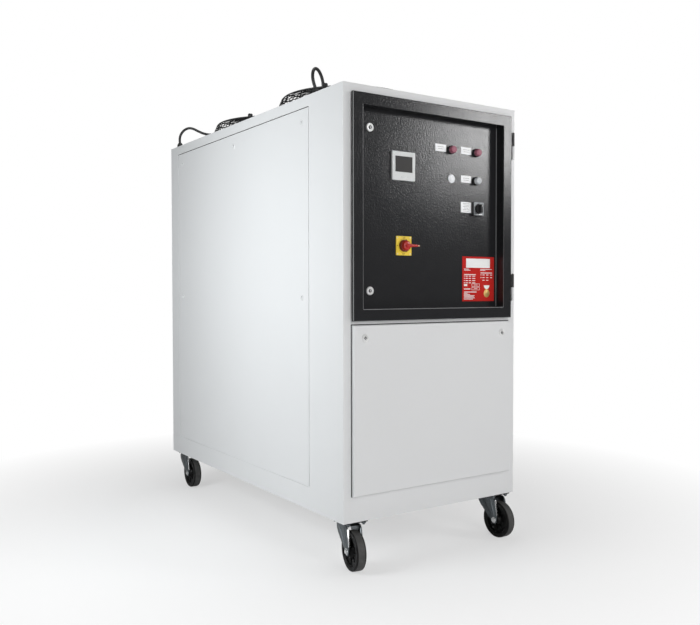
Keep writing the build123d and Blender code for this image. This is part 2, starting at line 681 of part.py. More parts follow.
with BuildPart() as selector_plate:
    with BuildSketch(on_door(SELECTOR_AT, PANEL_Y - SELECTOR_BASE)):
        RectangleRounded(SELECTOR, SELECTOR, SELECTOR_CORNER_R)
        offset(amount=-SELECTOR_PLATE_MARGIN, mode=Mode.REPLACE)
        Circle(SELECTOR_KNOB_R + SELECTOR_KNOB_GAP, mode=Mode.SUBTRACT)
    extrude(amount=SELECTOR_PLATE)
keep(selector_plate, "selector_plate")

SELECTOR_KNOB_Y = PANEL_Y - SELECTOR_BASE - TURNING_GAP

with BuildPart() as selector_knob:
    with BuildSketch(on_door(SELECTOR_AT, SELECTOR_KNOB_Y)):
        Circle(SELECTOR_KNOB_R)
    extrude(amount=SELECTOR_KNOB)
    with BuildSketch(on_door(SELECTOR_AT, SELECTOR_KNOB_Y - SELECTOR_KNOB)):
        SlotOverall(SELECTOR_GRIP_LENGTH, SELECTOR_GRIP_WIDTH, rotation=90)
    extrude(amount=SELECTOR_GRIP, taper=SELECTOR_GRIP_TAPER)
    with BuildSketch(on_door(SELECTOR_AT, SELECTOR_KNOB_Y)):
        Circle(SELECTOR_SHAFT_R)
    extrude(amount=-(SELECTOR_BASE + TURNING_GAP + SELECTOR_BODY_DEPTH / 2))
keep(selector_knob, "selector_knob")

# Pilot lamps and the blanking plug
with BuildPart() as lamp_bezels:
    for place in LAMPS:
        with BuildSketch(on_door(place)):
            Circle(LAMP_R)
        extrude(amount=LAMP_BEZEL, taper=LAMP_BEZEL_TAPER)
        with BuildSketch(on_door(place)):
            Circle(LAMP_BODY_R)
        extrude(amount=-(SHEET + LAMP_BODY_DEPTH))
        with BuildSketch(on_door(place, PANEL_Y - LAMP_BEZEL)):
            Circle(LENS_R + CUT_OUT_CLEARANCE)
        extrude(amount=LENS_SEAT - LAMP_BEZEL, mode=Mode.SUBTRACT)
keep(lamp_bezels, "lamp_bezels")

for places, label in ((RED_LAMPS, "red_lamp_lenses"), (CLEAR_LAMPS, "clear_lamp_lens")):
    with BuildPart() as lenses:
        for place in places:
            with BuildSketch(on_door(place, PANEL_Y - LENS_SEAT)):
                Circle(LENS_R)
            extrude(amount=LENS_PROUD - LENS_SEAT)
        fillet(lenses.edges().filter_by(GeomType.CIRCLE).group_by(Axis.Y)[0], LENS_EDGE_R)
    keep(lenses, label)

with BuildPart() as blanking_plug:
    with BuildSketch(on_door(PLUG_AT)):
        Circle(PLUG_R)
    extrude(amount=PLUG_PROUD)
    chamfer(blanking_plug.edges().filter_by(GeomType.CIRCLE).group_by(Axis.Y)[0], PLUG_CHAMFER)
    with BuildSketch(on_door(PLUG_AT)):
        Circle(LAMP_BODY_R)
    extrude(amount=-(SHEET + PLUG_SHANK))
keep(blanking_plug, "blanking_plug")

# Label plates beside the lamps and the selector, and the large information plate
with BuildPart() as label_plates:
    for place in LAMPS:
        with BuildSketch(on_door((place[0] + LABEL_SHIFT, place[1] + LABEL_RAISE))):
            Rectangle(LABEL_WIDTH, LABEL_HEIGHT)
        extrude(amount=LABEL_THICKNESS)
    with BuildSketch(on_door((CLEAR_LAMPS[0][0] + LABEL_SHIFT, SELECTOR_AT[1] + LABEL_RAISE))):
        Rectangle(LABEL_WIDTH, TALL_LABEL_HEIGHT)
    extrude(amount=LABEL_THICKNESS)
keep(label_plates, "label_plates")

with BuildPart() as information_plate:
    with BuildSketch(on_door(NOTICE_AT)):
        Rectangle(NOTICE_WIDTH, NOTICE_HEIGHT)
    extrude(amount=LABEL_THICKNESS)
keep(information_plate, "information_plate")

# Hinges: the door's knuckle turns on a pin that stands up from the frame's knuckle
HINGE_Y = FRONT_Y - HINGE_STANDOFF
HINGE_LEVELS = tuple(FLOOR_Z + height for height in HINGE_HEIGHTS)

with BuildPart() as door_hinge_leaves:
    for level in HINGE_LEVELS:
        with BuildSketch(Plane.XY.offset(level + TURNING_GAP)):
            with Locations(((DOOR_WIDTH / 2 + HINGE_X) / 2, HINGE_Y)):
                Rectangle(HINGE_X - DOOR_WIDTH / 2, LEAF)
            with Locations((HINGE_X, HINGE_Y)):
                Circle(HINGE_R)
                Circle(HINGE_PIN_R + PIN_CLEARANCE, mode=Mode.SUBTRACT)
        extrude(amount=KNUCKLE)
keep(door_hinge_leaves, "door_hinge_leaves")

with BuildPart() as frame_hinge_leaves:
    for level in HINGE_LEVELS:
        with BuildSketch(Plane.XY.offset(level)):
            with Locations((HINGE_X, (HINGE_Y + FRONT_Y) / 2)):
                Rectangle(LEAF * 2, HINGE_STANDOFF)
            with Locations((HINGE_X, HINGE_Y)):
                Circle(HINGE_R)
        extrude(amount=-KNUCKLE)
        with BuildSketch(Plane.XY.offset(level)):
            with Locations((HINGE_X, HINGE_Y)):
                Circle(HINGE_PIN_R)
        extrude(amount=KNUCKLE)
keep(frame_hinge_leaves, "frame_hinge_leaves")


# Folded covers with rounded edges, open at the back: the lower front panel and the rear panel
COVERS = {
    "lower_front_panel": (-1, FLOOR_Z + COVER_BOTTOM, FLOOR_Z + COVER_TOP),
    "rear_panel": (1, DOOR_Z0, DOOR_Z1),
}


def cover_plane(outward, z, stand_off=0.0):
    """An upright plane on the front (-1) or rear (1) wall that looks outwards."""
    return Plane(origin=(0, outward * (REAR_Y + stand_off), z), x_dir=(-outward, 0, 0), z_dir=(0, outward, 0))


for label, (outward, bottom, top) in COVERS.items():
    with BuildPart() as pan:
        with BuildSketch(cover_plane(outward, (bottom + top) / 2)):
            Rectangle(COVER_WIDTH, top - bottom)
        extrude(amount=PROUD)
        flat_faces = pan.faces().filter_by(Axis.Y).sort_by(Axis.Y)[::outward]
        fillet(flat_faces[-1].edges(), COVER_R)
        offset(amount=-SHEET, openings=pan.faces().filter_by(Axis.Y).sort_by(Axis.Y)[::outward][0])
    keep(pan, label)


def fastener(radius, proud, edge, depth, turn):
    """A round fastener with a square socket, standing on the XY plane."""
    with BuildPart() as piece:
        with BuildSketch():
            Circle(radius)
        extrude(amount=proud)
        chamfer(piece.faces().sort_by(Axis.Z)[-1].edges(), edge)
        with BuildSketch(Plane.XY.offset(proud)):
            Rectangle(SOCKET, SOCKET, rotation=turn)
        extrude(amount=-depth, mode=Mode.SUBTRACT)
    return piece.part


# Fasteners of the side panels and of the two covers
side_fastener = fastener(QUARTER_TURN_R, QUARTER_TURN_PROUD, QUARTER_TURN_CHAMFER, SOCKET_DEPTH, 0)
cover_fastener = fastener(COVER_LOCK_R, COVER_LOCK_PROUD, COVER_LOCK_CHAMFER, COVER_SOCKET_DEPTH, 45)

with BuildPart() as panel_fasteners:
    for sign in (-1, 1):
        for y, z in TURNS:
            with Locations(Plane(origin=(sign * SIDE_X, y, z), x_dir=(0, sign, 0), z_dir=(sign, 0, 0))):
                add(side_fastener)
    for outward, bottom, top in COVERS.values():
        with Locations(cover_plane(outward, top - COVER_LOCK_DROP, PROUD)):
            with Locations((-COVER_LOCK_X, 0), (COVER_LOCK_X, 0)):
                add(cover_fastener)
keep(panel_fasteners, "panel_fasteners")

# Air-intake grille of the rear wall: a frame with tilted louvres
GRILLE_Z0 = FLOOR_Z + GRILLE_BOTTOM
GRILLE_Z1 = FLOOR_Z + GRILLE_TOP
GRILLE_PITCH = (GRILLE_Z1 - GRILLE_Z0 - 2 * GRILLE_FRAME) / LOUVRES

with BuildPart() as intake_grille:
    with BuildSketch(facing_front(REAR_Y + LOUVRE_DEPTH)):
        with Locations((0, (GRILLE_Z0 + GRILLE_Z1) / 2)):
            Rectangle(GRILLE_WIDTH, GRILLE_Z1 - GRILLE_Z0)
            Rectangle(
                GRILLE_WIDTH - 2 * GRILLE_FRAME,
                GRILLE_Z1 - GRILLE_Z0 - 2 * GRILLE_FRAME,
                mode=Mode.SUBTRACT,
            )
    extrude(amount=LOUVRE_DEPTH)
    with BuildSketch(Plane.YZ.offset(-GRILLE_WIDTH / 2 + GRILLE_FRAME / 2)):
        for number in range(LOUVRES):
            level = GRILLE_Z0 + GRILLE_FRAME + (number + 0.5) * GRILLE_PITCH
            with Locations((REAR_Y + LOUVRE_DEPTH / 2, level)):
                Rectangle(LOUVRE_DEPTH, LOUVRE_SHEET, rotation=-LOUVRE_TILT)
    extrude(amount=GRILLE_WIDTH - GRILLE_FRAME)
keep(intake_grille, "intake_grille")

# Water ports: threaded sockets with a hexagon, one for supply and one for return
PORT_Z = FLOOR_Z + PORT_HEIGHT

with BuildPart() as water_ports:
    for x in PORTS_X:
        with BuildSketch(facing_front(REAR_Y + PORT_PROUD)):
            with Locations((x, PORT_Z)):
                RegularPolygon(PORT_HEX / 2, 6, major_radius=False)
        extrude(amount=PORT_PROUD)
        with BuildSketch(facing_front(REAR_Y)):
            with Locations((x, PORT_Z)):
                Circle(PORT_R - CUT_OUT_CLEARANCE)
        extrude(amount=PORT_DEPTH + SHEET - PORT_PROUD)
    with BuildSketch(facing_front(REAR_Y + PORT_PROUD)):
        with Locations(*((x, PORT_Z) for x in PORTS_X)):
            Circle(PORT_BORE_R)
    extrude(amount=PORT_DEPTH, mode=Mode.SUBTRACT)
keep(water_ports, "water_ports")

# Condenser coil, lying with its flanges on the two rails under the fans
CONDENSER_LENGTH = SIDE_OPENING_LENGTH - 2 * CONDENSER_MARGIN
CONDENSER_Y = SIDE_OPENING_AT[0]

with BuildPart() as condenser:
    with BuildSketch(Plane.XY.offset(CONDENSER_Z)):
        with Locations((0, CONDENSER_Y)):
            Rectangle(CONDENSER_WIDTH, CONDENSER_LENGTH)
    extrude(amount=CONDENSER_HEIGHT)
    with BuildSketch(Plane.XY.offset(CONDENSER_Z)):
        with Locations((0, CONDENSER_Y)):
            Rectangle(WIDTH - 4 * SHEET - 2 * RAIL_CLEARANCE, CONDENSER_LENGTH)
    extrude(amount=CONDENSER_FLANGE)
keep(condenser, "condenser")

# Fans: ring in the roof, guard over it, motor under the guard and the rotor that it drives
MOTOR_Z1 = GUARD_TOP_Z - WIRE
MOTOR_Z0 = MOTOR_Z1 - MOTOR_HEIGHT
HUB_Z1 = MOTOR_Z0 - HUB_GAP
HUB_Z0 = HUB_Z1 - HUB_HEIGHT
GUARD_FOOT_Z = ROOF_Z + RING_SHEET

with BuildPart() as fan_rings:
    for y in FAN_CENTRES.values():
        with BuildSketch(Plane.XY.offset(ROOF_Z)):
            with Locations((0, y)):
                Circle(RING_FLANGE_R)
                Circle(RING_R, mode=Mode.SUBTRACT)
        extrude(amount=RING_SHEET)
        with BuildSketch(Plane.XY.offset(ROOF_Z)):
            with Locations((0, y)):
                Circle(RING_R + RING_SHEET)
                Circle(RING_R, mode=Mode.SUBTRACT)
        extrude(amount=-RING_DEPTH)
keep(fan_rings, "fan_rings")

# One blade, drawn from root to tip as three thin sections that twist and lean forward
BLADE_RADII = (HUB_R - BLADE_ROOT_DEPTH, BLADE_MIDDLE_R, RING_R)
BLADE_Z = ROOF_Z - RING_DEPTH / 2 + BLADE_RAISE

with BuildPart() as blade:
    for radius, chord, pitch, lean in zip(BLADE_RADII, BLADE_CHORDS, BLADE_PITCHES, BLADE_LEANS):
        with BuildSketch(Plane(origin=(radius, 0, 0), x_dir=(0, 1, 0), z_dir=(1, 0, 0))):
            with Locations((lean, 0)):
                Rectangle(chord, BLADE_THICKNESS, rotation=pitch)
    loft()

for place, y in FAN_CENTRES.items():
    with BuildPart() as fan_rotor:
        with BuildSketch(Plane.XY.offset(HUB_Z0)):
            with Locations((0, y)):
                Circle(HUB_R)
        extrude(amount=HUB_HEIGHT)
        with Locations((0, y, BLADE_Z)):
            with PolarLocations(0, BLADES):
                add(blade.part)
        with BuildSketch(Plane.XY.offset(ROOF_Z - RING_DEPTH)):
            with Locations((0, y)):
                Circle(FAN_R)
        extrude(amount=HUB_Z1 - ROOF_Z + RING_DEPTH, mode=Mode.INTERSECT)
        with BuildSketch(Plane.XY.offset(HUB_Z1)):
            with Locations((0, y)):
                Circle(SHAFT_R)
        extrude(amount=HUB_GAP + MOTOR_HEIGHT / 2)
    keep(fan_rotor, f"fan_rotor_{place}")

with BuildPart() as fan_motors:
    for y in FAN_CENTRES.values():
        with BuildSketch(Plane.XY.offset(MOTOR_Z0)):
            with Locations((0, y)):
                Circle(MOTOR_R)
        extrude(amount=MOTOR_HEIGHT)
        with BuildSketch(Plane.XY.offset(MOTOR_Z0)):
            with Locations((0, y)):
                Circle(SHAFT_R + PIN_CLEARANCE)
        extrude(amount=MOTOR_HEIGHT / 2 + TURNING_GAP, mode=Mode.SUBTRACT)
keep(fan_motors, "fan_motors")

# Each guard: rings and bent spokes of wire, a plate in the middle that holds the motor, and a
# clip on the upper edge
GUARD_TOP_WIRE_Z = GUARD_TOP_Z - WIRE
GUARD_RINGS = (
    (GUARD_R, GUARD_FOOT_Z),
    ((GUARD_R + GUARD_TOP_R) / 2, (GUARD_FOOT_Z + GUARD_TOP_WIRE_Z) / 2),
    (GUARD_TOP_R, GUARD_TOP_WIRE_Z),
) + tuple((radius, GUARD_TOP_WIRE_Z) for radius in GUARD_INNER_RINGS)

with BuildPart() as fan_guards:
    for y in FAN_CENTRES.values():
        for radius, level in GUARD_RINGS:
            with BuildSketch(Plane.XY.offset(level)):
                with Locations((0, y)):
                    RegularPolygon(radius, GUARD_SIDES)
                    RegularPolygon(radius - WIRE, GUARD_SIDES, mode=Mode.SUBTRACT)
            extrude(amount=WIRE)
        with BuildSketch(Plane.XY.offset(GUARD_TOP_WIRE_Z)):
            with Locations((0, y)):
                Circle(MOTOR_PLATE_R)
        extrude(amount=WIRE)
        for number in range(GUARD_SPOKES):
            spoke = Plane((0, y, 0)).rotated((0, 0, GUARD_FIRST_SPOKE + 360 / GUARD_SPOKES * number))
            with BuildSketch(Plane(origin=spoke.origin, x_dir=spoke.x_dir, z_dir=-spoke.y_dir)):
                with BuildLine():
                    Polyline(
                        (MOTOR_PLATE_R - WIRE, GUARD_TOP_WIRE_Z),
                        (GUARD_TOP_R - WIRE, GUARD_TOP_WIRE_Z),
                        (GUARD_R - WIRE, GUARD_FOOT_Z),
                        (GUARD_R, GUARD_FOOT_Z),
                        (GUARD_TOP_R, GUARD_TOP_Z),
                        (MOTOR_PLATE_R - WIRE, GUARD_TOP_Z),
                        close=True,
                    )
                make_face()
            extrude(amount=WIRE / 2, both=True)
        clip = Plane((0, y, GUARD_TOP_WIRE_Z)).rotated((0, 0, GUARD_CLIP_AT))
        with BuildSketch(clip):
            with Locations((GUARD_TOP_R - GUARD_CLIP_DEPTH / 2, 0)):
                Rectangle(GUARD_CLIP_DEPTH, GUARD_CLIP_WIDTH)
        extrude(amount=WIRE + GUARD_CLIP_RISE)
keep(fan_guards, "fan_guards")

# Cable glands: one for each fan lead in the roof, and the mains entry in the rear wall
with BuildPart() as cable_glands:
    for x, y in GLANDS.values():
        with BuildSketch(Plane.XY.offset(ROOF_Z)):
            with Locations((x, y)):
                Circle(GLAND_FLANGE_R)
        extrude(amount=GLAND_FLANGE)
        with BuildSketch(Plane.XY.offset(ROOF_Z + GLAND_FLANGE)):
            with Locations((x, y)):
                Circle(GLAND_R)
        extrude(amount=GLAND_HEIGHT - GLAND_FLANGE, taper=GLAND_TAPER)
        with BuildSketch(Plane.XY.offset(ROOF_Z)):
            with Locations((x, y)):
                Circle(GLAND_R - CUT_OUT_CLEARANCE)
        extrude(amount=-GLAND_SHANK)
    with BuildSketch(facing_front(REAR_Y + MAINS_GLAND_PROUD)):
        with Locations((MAINS_GLAND_X, PORT_Z)):
            RegularPolygon(MAINS_GLAND_R, 6, major_radius=False)
            Circle(MAINS_BORE_R, mode=Mode.SUBTRACT)
    extrude(amount=MAINS_GLAND_PROUD)
    with BuildSketch(facing_front(REAR_Y)):
        with Locations((MAINS_GLAND_X, PORT_Z)):
            Circle(MAINS_THREAD_R - CUT_OUT_CLEARANCE)
            Circle(MAINS_BORE_R, mode=Mode.SUBTRACT)
    extrude(amount=MAINS_GLAND_PROUD)
keep(cable_glands, "cable_glands")

def corner_radii(points):
    """The largest arc at each corner of a route: 0.45 of the shorter run over tan(half the turn)."""
    radii = []
    for before, at, after in zip(points, points[1:], points[2:]):
        turn = (at - before).get_angle(after - at)
        shorter = min((at - before).length, (after - at).length)
        radii.append(0.45 * shorter / tan(radians(turn) / 2))
    return radii


# The leads stand in their glands, bend over and pass through the guards into the motors' sides
for place, (gland_x, gland_y) in GLANDS.items():
    gland = Vector(gland_x, gland_y, ROOF_Z)
    middle = Vector(0, FAN_CENTRES[place], ROOF_Z)
    towards = (middle - gland).normalized()
    sideways = Vector(-towards.Y, towards.X, 0)
    gland_top = (0.0, 0.0, GLAND_HEIGHT - LEAD_SEAT)
    motor_side = ((middle - gland).length - MOTOR_R + LEAD_SEAT, 0.0, (MOTOR_Z0 + MOTOR_Z1) / 2 - ROOF_Z)
    stations = (gland_top,) + LEAD_ROUTES[place] + (motor_side,)
    route = [gland + towards * along + sideways * aside + Vector(0, 0, up) for along, aside, up in stations]
    radii = corner_radii(route)
    with BuildPart() as lead:
        with BuildLine():
            path = FilletPolyline(*route, radius=radii)
        with BuildSketch(Plane(origin=path @ 0, z_dir=path % 0)):
            Circle(LEAD_R)
        sweep()
    keep(lead, f"fan_lead_{place}")
    share = lead.part.volume / (path.length * pi * LEAD_R**2)
    print(f"{place} lead: {path.length:.0f} mm, volume {share:.4f} of section times length")
    print("corner radii", [round(radius) for radius in radii])

# Castors: a plate with the fixed race under each corner of the base frame
PLATE_Z0 = FLOOR_Z - CASTOR_PLATE
RACE_Z0 = PLATE_Z0 - RACE_HEIGHT
CROWN_Z1 = RACE_Z0 - TURNING_GAP
CROWN_Z0 = CROWN_Z1 - CROWN

with BuildPart() as castor_plates:
    with BuildSketch(Plane.XY.offset(PLATE_Z0)):
        with Locations(*SWIVELS.values()):
            RectangleRounded(CASTOR_PLATE_X, CASTOR_PLATE_Y, CASTOR_PLATE_CORNER_R)
            with GridLocations(BOLT_SPACING_X, BOLT_SPACING_Y, 2, 2):
                Circle(BOLT_HOLE_R, mode=Mode.SUBTRACT)
    extrude(amount=CASTOR_PLATE)
    with BuildSketch(Plane.XY.offset(PLATE_Z0)):
        with Locations(*SWIVELS.values()):
            Circle(RACE_R)
    extrude(amount=-RACE_HEIGHT, taper=RACE_TAPER)
    with BuildSketch(Plane.XY.offset(RACE_Z0)):
        with Locations(*SWIVELS.values()):
            Circle(KING_PIN_R + PIN_CLEARANCE)
    extrude(amount=KING_PIN + TURNING_GAP, mode=Mode.SUBTRACT)
keep(castor_plates, "castor_plates")

LEG_X = WHEEL_WIDTH / 2 + WHEEL_SIDE_GAP
HUB_X = LEG_X - HUB_SIDE_GAP

for name, (x, y) in SWIVELS.items():
    swivel = Plane((x, y, 0)).rotated((0, 0, CASTOR_TURNS[name]))
    axle_at = swivel.from_local_coords((0, -TRAIL, WHEEL_R))

    with BuildPart() as fork:
        with BuildSketch(swivel.offset(CROWN_Z0)):
            Circle(RACE_R)
            Rectangle(2 * (LEG_X + FORK_LEG), FORK_TOP_WIDTH)
            make_hull()
        extrude(amount=CROWN)
        with BuildSketch(swivel.offset(CROWN_Z1)):
            Circle(KING_PIN_R)
        extrude(amount=KING_PIN)
        for shift in (-LEG_X - FORK_LEG, LEG_X):
            leg_plane = Plane(
                origin=swivel.from_local_coords((shift, 0, 0)), x_dir=swivel.y_dir, z_dir=swivel.x_dir
            )
            with BuildSketch(leg_plane):
                with Locations((0, CROWN_Z0 + CROWN / 2)):
                    Rectangle(FORK_TOP_WIDTH, CROWN)
                with Locations((-TRAIL, WHEEL_R)):
                    Circle(FORK_BOSS_R)
                make_hull()
            extrude(amount=FORK_LEG)
        for shift, length, radius in (
            (-LEG_X - FORK_LEG - AXLE_HEAD, AXLE_HEAD, AXLE_HEAD_R),
            (LEG_X + FORK_LEG, AXLE_HEAD, AXLE_HEAD_R),
            (-LEG_X - FORK_LEG, 2 * (LEG_X + FORK_LEG), AXLE_R),
        ):
            axle_plane = Plane(
                origin=swivel.from_local_coords((shift, -TRAIL, WHEEL_R)), x_dir=swivel.y_dir, z_dir=swivel.x_dir
            )
            with BuildSketch(axle_plane):
                Circle(radius)
            extrude(amount=length)
    keep(fork, f"castor_fork_{name}")

    with BuildPart() as wheel:
        with BuildSketch(Plane(origin=axle_at, x_dir=swivel.x_dir, z_dir=-swivel.y_dir)):
            with BuildLine():
                half = WHEEL_WIDTH / 2
                Polyline(
                    (0, AXLE_R + PIN_CLEARANCE),
                    (HUB_X, AXLE_R + PIN_CLEARANCE),
                    (HUB_X, WHEEL_HUB_R),
                    (half - WEB_INSET, WHEEL_HUB_R + WEB_INSET),
                    (half - WEB_INSET, WHEEL_R - TYRE_DEPTH),
                    (half, WHEEL_R - TYRE_DEPTH + WEB_INSET / 2),
                    (half, WHEEL_R - TYRE_EDGE),
                    (half - TYRE_EDGE, WHEEL_R),
                    (0, WHEEL_R),
                )
                mirror(about=Plane.YZ)
            make_face()
        revolve(axis=Axis(axle_at, swivel.x_dir))
    keep(wheel, f"castor_wheel_{name}")
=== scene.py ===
from math import cos, pi, radians, sin

import bmesh
import bpy
from mathutils import Matrix, Vector


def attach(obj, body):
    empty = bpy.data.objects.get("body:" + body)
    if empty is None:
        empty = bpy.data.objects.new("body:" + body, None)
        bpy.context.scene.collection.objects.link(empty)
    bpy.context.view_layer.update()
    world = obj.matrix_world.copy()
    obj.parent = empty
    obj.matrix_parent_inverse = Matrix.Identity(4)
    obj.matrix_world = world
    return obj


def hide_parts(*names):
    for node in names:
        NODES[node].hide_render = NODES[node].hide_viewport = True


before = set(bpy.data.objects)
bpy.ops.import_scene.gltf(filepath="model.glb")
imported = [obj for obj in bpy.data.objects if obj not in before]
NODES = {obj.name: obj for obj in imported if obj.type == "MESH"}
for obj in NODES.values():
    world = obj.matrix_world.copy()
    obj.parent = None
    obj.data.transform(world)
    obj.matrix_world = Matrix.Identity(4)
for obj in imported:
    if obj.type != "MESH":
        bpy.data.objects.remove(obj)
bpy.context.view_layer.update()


def in_scene(name, data):
    """Links a new object that holds the data to the scene."""
    made = bpy.data.objects.new(name, data)
    bpy.context.scene.collection.objects.link(made)
    return made


# Materials


class Channel:
    """A value in a material. Operators between channels and numbers add Math nodes."""

    def __init__(self, finish, socket):
        self.finish = finish
        self.socket = socket

    def _math(self, operation, first, second):
        return self.finish.node("ShaderNodeMath", {"operation": operation}, {0: first, 1: second})

    def __add__(self, other):
        return self._math("ADD", self, other)

    def __radd__(self, other):
        return self._math("ADD", other, self)

    def __mul__(self, other):
        return self._math("MULTIPLY", self, other)

    def __truediv__(self, other):
        return self._math("DIVIDE", self, other)

    def __mod__(self, other):
        return self._math("FLOORED_MODULO", self, other)


class Finish:
    """A material around one shader, with the part's own coordinates at hand."""

    def __init__(self, name, metallic=0.0, **constants):
        self.material = bpy.data.materials.new(name)
        self.material.use_nodes = True
        self.tree = self.material.node_tree
        self.shader = self.tree.nodes["Principled BSDF"]
        self.shader.inputs["Metallic"].default_value = metallic
        for name, value in constants.items():
            self.socket(name).default_value = value
        self.place = self.node("ShaderNodeTexCoord", out="Object")

    def node(self, kind, settings=None, values=None, out=0):
        """Adds a node: its settings first, then the values or links of its sockets."""
        made = self.tree.nodes.new(kind)
        for name, value in (settings or {}).items():
            if name == "stops":
                ramp = made.color_ramp
                while len(ramp.elements) < len(value):
                    ramp.elements.new(1.0)
                for element, (position, grey) in zip(ramp.elements, value):
                    element.position = position
                    element.color = (grey, grey, grey, 1.0)
            else:
                setattr(made, name, value)
        for socket, value in (values or {}).items():
            if isinstance(value, Channel):
                self.tree.links.new(value.socket, made.inputs[socket])
            else:
                made.inputs[socket].default_value = value
        return Channel(self, made.outputs[out])

    def socket(self, name):
        return self.shader.inputs["IOR" if name == "ior" else name.replace("_", " ").title()]

    def axes(self):
        """The x, y and z of the part's own coordinates, in metres."""
        split = self.node("ShaderNodeSeparateXYZ", values={0: self.place}).socket.node
        return [Channel(self, socket) for socket in split.outputs]

    def stretched(self, scale):
        return self.node("ShaderNodeMapping", values={"Vector": self.place, "Scale": scale})

    def noise(self, scale, detail=3.0, roughness=0.5, vector=None):
        values = {"Vector": vector or self.place, "Scale": scale, "Detail": detail, "Roughness": roughness}
        return self.node("ShaderNodeTexNoise", values=values, out="Fac")

    def cells(self, scale):
        """A colour of its own for each crystal of a plated surface."""
        return self.node("ShaderNodeTexVoronoi", values={"Vector": self.place, "Scale": scale}, out="Color")

    def ramp(self, value, *stops):
        return self.node("ShaderNodeValToRGB", {"stops": stops}, {0: value})

    def mix(self, share, first, second):
        settings = {"data_type": "RGBA"}
        made = self.node("ShaderNodeMix", settings, {"Factor": share}).socket.node
        for socket, colour in ((made.inputs[6], first), (made.inputs[7], second)):
            if isinstance(colour, Channel):
                self.tree.links.new(colour.socket, socket)
            else:
                socket.default_value = (*colour, 1.0)
        return Channel(self, made.outputs[2])

    def feed(self, **channels):
        """Links channels to the shader's sockets, or sets them where they are numbers or colours."""
        for name, value in channels.items():
            socket = self.socket(name)
            if isinstance(value, Channel):
                self.tree.links.new(value.socket, socket)
            elif isinstance(value, tuple):
                socket.default_value = (*value, 1.0)
            else:
                socket.default_value = value
        return self

    def grain(self, height, distance):
        """Bumps the surface; distance is the height's full range in metres."""
        values = {"Height": height, "Distance": distance, "Strength": 1.0}
        return self.feed(normal=self.node("ShaderNodeBump", values=values, out="Normal"))


def lighter(colour, by):
    return tuple(min(1.0, part * by) for part in colour)


def powder_coat(name, colour, gloss, peel, painted_glints=0.0, mottle=0.0):
    """Baked powder coat: a fine orange peel, slightly uneven gloss and a faint drift of its colour, with
    pale flecks painted in as glints of the peel where painted_glints asks for them.
    """
    finish = Finish(name, ior=1.45)
    drift = finish.noise(2.2, 4.0)
    fine = finish.noise(900.0, 2.0)
    coat = finish.mix(drift, lighter(colour, 0.975), lighter(colour, 1.02))
    # Pale flecks painted into the colour as glints of the orange peel.
    if painted_glints:
        coat = finish.mix(finish.ramp(fine, (0.52, 0.0), (0.72, 1.0)) * painted_glints, coat, lighter(colour, 3.2))
    finish.feed(base_color=coat, roughness=gloss + finish.noise(24.0, 5.0) * 0.12)
    return finish.grain(fine * 0.7 + finish.noise(330.0, 2.0) + finish.noise(170.0, 1.0) * mottle, peel)


def plated(name, colour, gloss, spangle, metallic=1.0):
    """Zinc on sheet steel: cloudy crystals and a short rolling grain."""
    finish = Finish(name, metallic=metallic)
    crystal = finish.cells(spangle)
    tone = finish.node("ShaderNodeSeparateColor", values={0: crystal})
    rolled = finish.noise(40.0, 5.0, 0.7, finish.stretched((1.0, 1.0, 14.0)))
    share = tone * 0.45 + rolled * 0.55
    finish.feed(
        base_color=finish.mix(share, lighter(colour, 0.8), lighter(colour, 1.18)),
        roughness=gloss + share * 0.22,
    )
    return finish.grain(rolled, 0.00004)


def moulded(name, colour, gloss, drift=0.06, **constants):
    """Moulded plastic: a matt spark-eroded skin with faint handling marks."""
    finish = Finish(name, **constants)
    marks = finish.noise(55.0, 6.0, 0.65)
    finish.feed(
        base_color=finish.mix(marks, lighter(colour, 1.0 - drift), lighter(colour, 1.0 + drift)),
        roughness=gloss + marks * 0.14,
    )
    return finish.grain(finish.noise(1600.0, 1.0) + finish.noise(500.0, 2.0) * 0.5, 0.00002)


def turned_metal(name, colour, gloss):
    """Bright machined metal with a fine grain and a few dull spots."""
    finish = Finish(name, metallic=1.0)
    dull = finish.noise(70.0, 5.0, 0.7)
    finish.feed(
        base_color=finish.mix(dull, lighter(colour, 0.86), lighter(colour, 1.08)),
        roughness=gloss + dull * 0.16,
    )
    return finish.grain(finish.noise(2200.0, 2.0), 0.000012)


def rubber(name, colour, gloss, dusty, **constants):
    """Rubber: matt and a little uneven, with patches of pale dust."""
    finish = Finish(name, **constants)
    bloom = finish.noise(30.0, 6.0, 0.7)
    share = finish.ramp(bloom, (0.42, 0.0), (0.78, 1.0)) * dusty
    finish.feed(base_color=finish.mix(share, colour, (0.16, 0.155, 0.15)), roughness=gloss + bloom * 0.2)
    return finish.grain(finish.noise(700.0, 3.0) + bloom, 0.00006)


def finned_coil():
    """The coil's face: thin bright fins across the tubes, with painted shade in the gaps between them."""
    finish = Finish("finned_coil", metallic=0.8)
    across = finish.axes()[1]
    fin = (across % 0.0032) / 0.0032
    edge = finish.ramp(fin, (0.0, 0.0), (0.18, 1.0), (0.5, 1.0), (0.68, 0.0))
    dust = finish.noise(14.0, 6.0, 0.6)
    bright = finish.mix(dust, (0.50, 0.51, 0.52), (0.62, 0.63, 0.64))
    # The near-black between the fins is painted shade of the deep gaps.
    finish.feed(base_color=finish.mix(edge, (0.03, 0.03, 0.032), bright), roughness=0.34 + dust * 0.3)
    return finish.grain(edge, 0.0006)


CABINET_GREY = (0.74, 0.745, 0.75)
ANTHRACITE = (0.016, 0.0163, 0.0178)

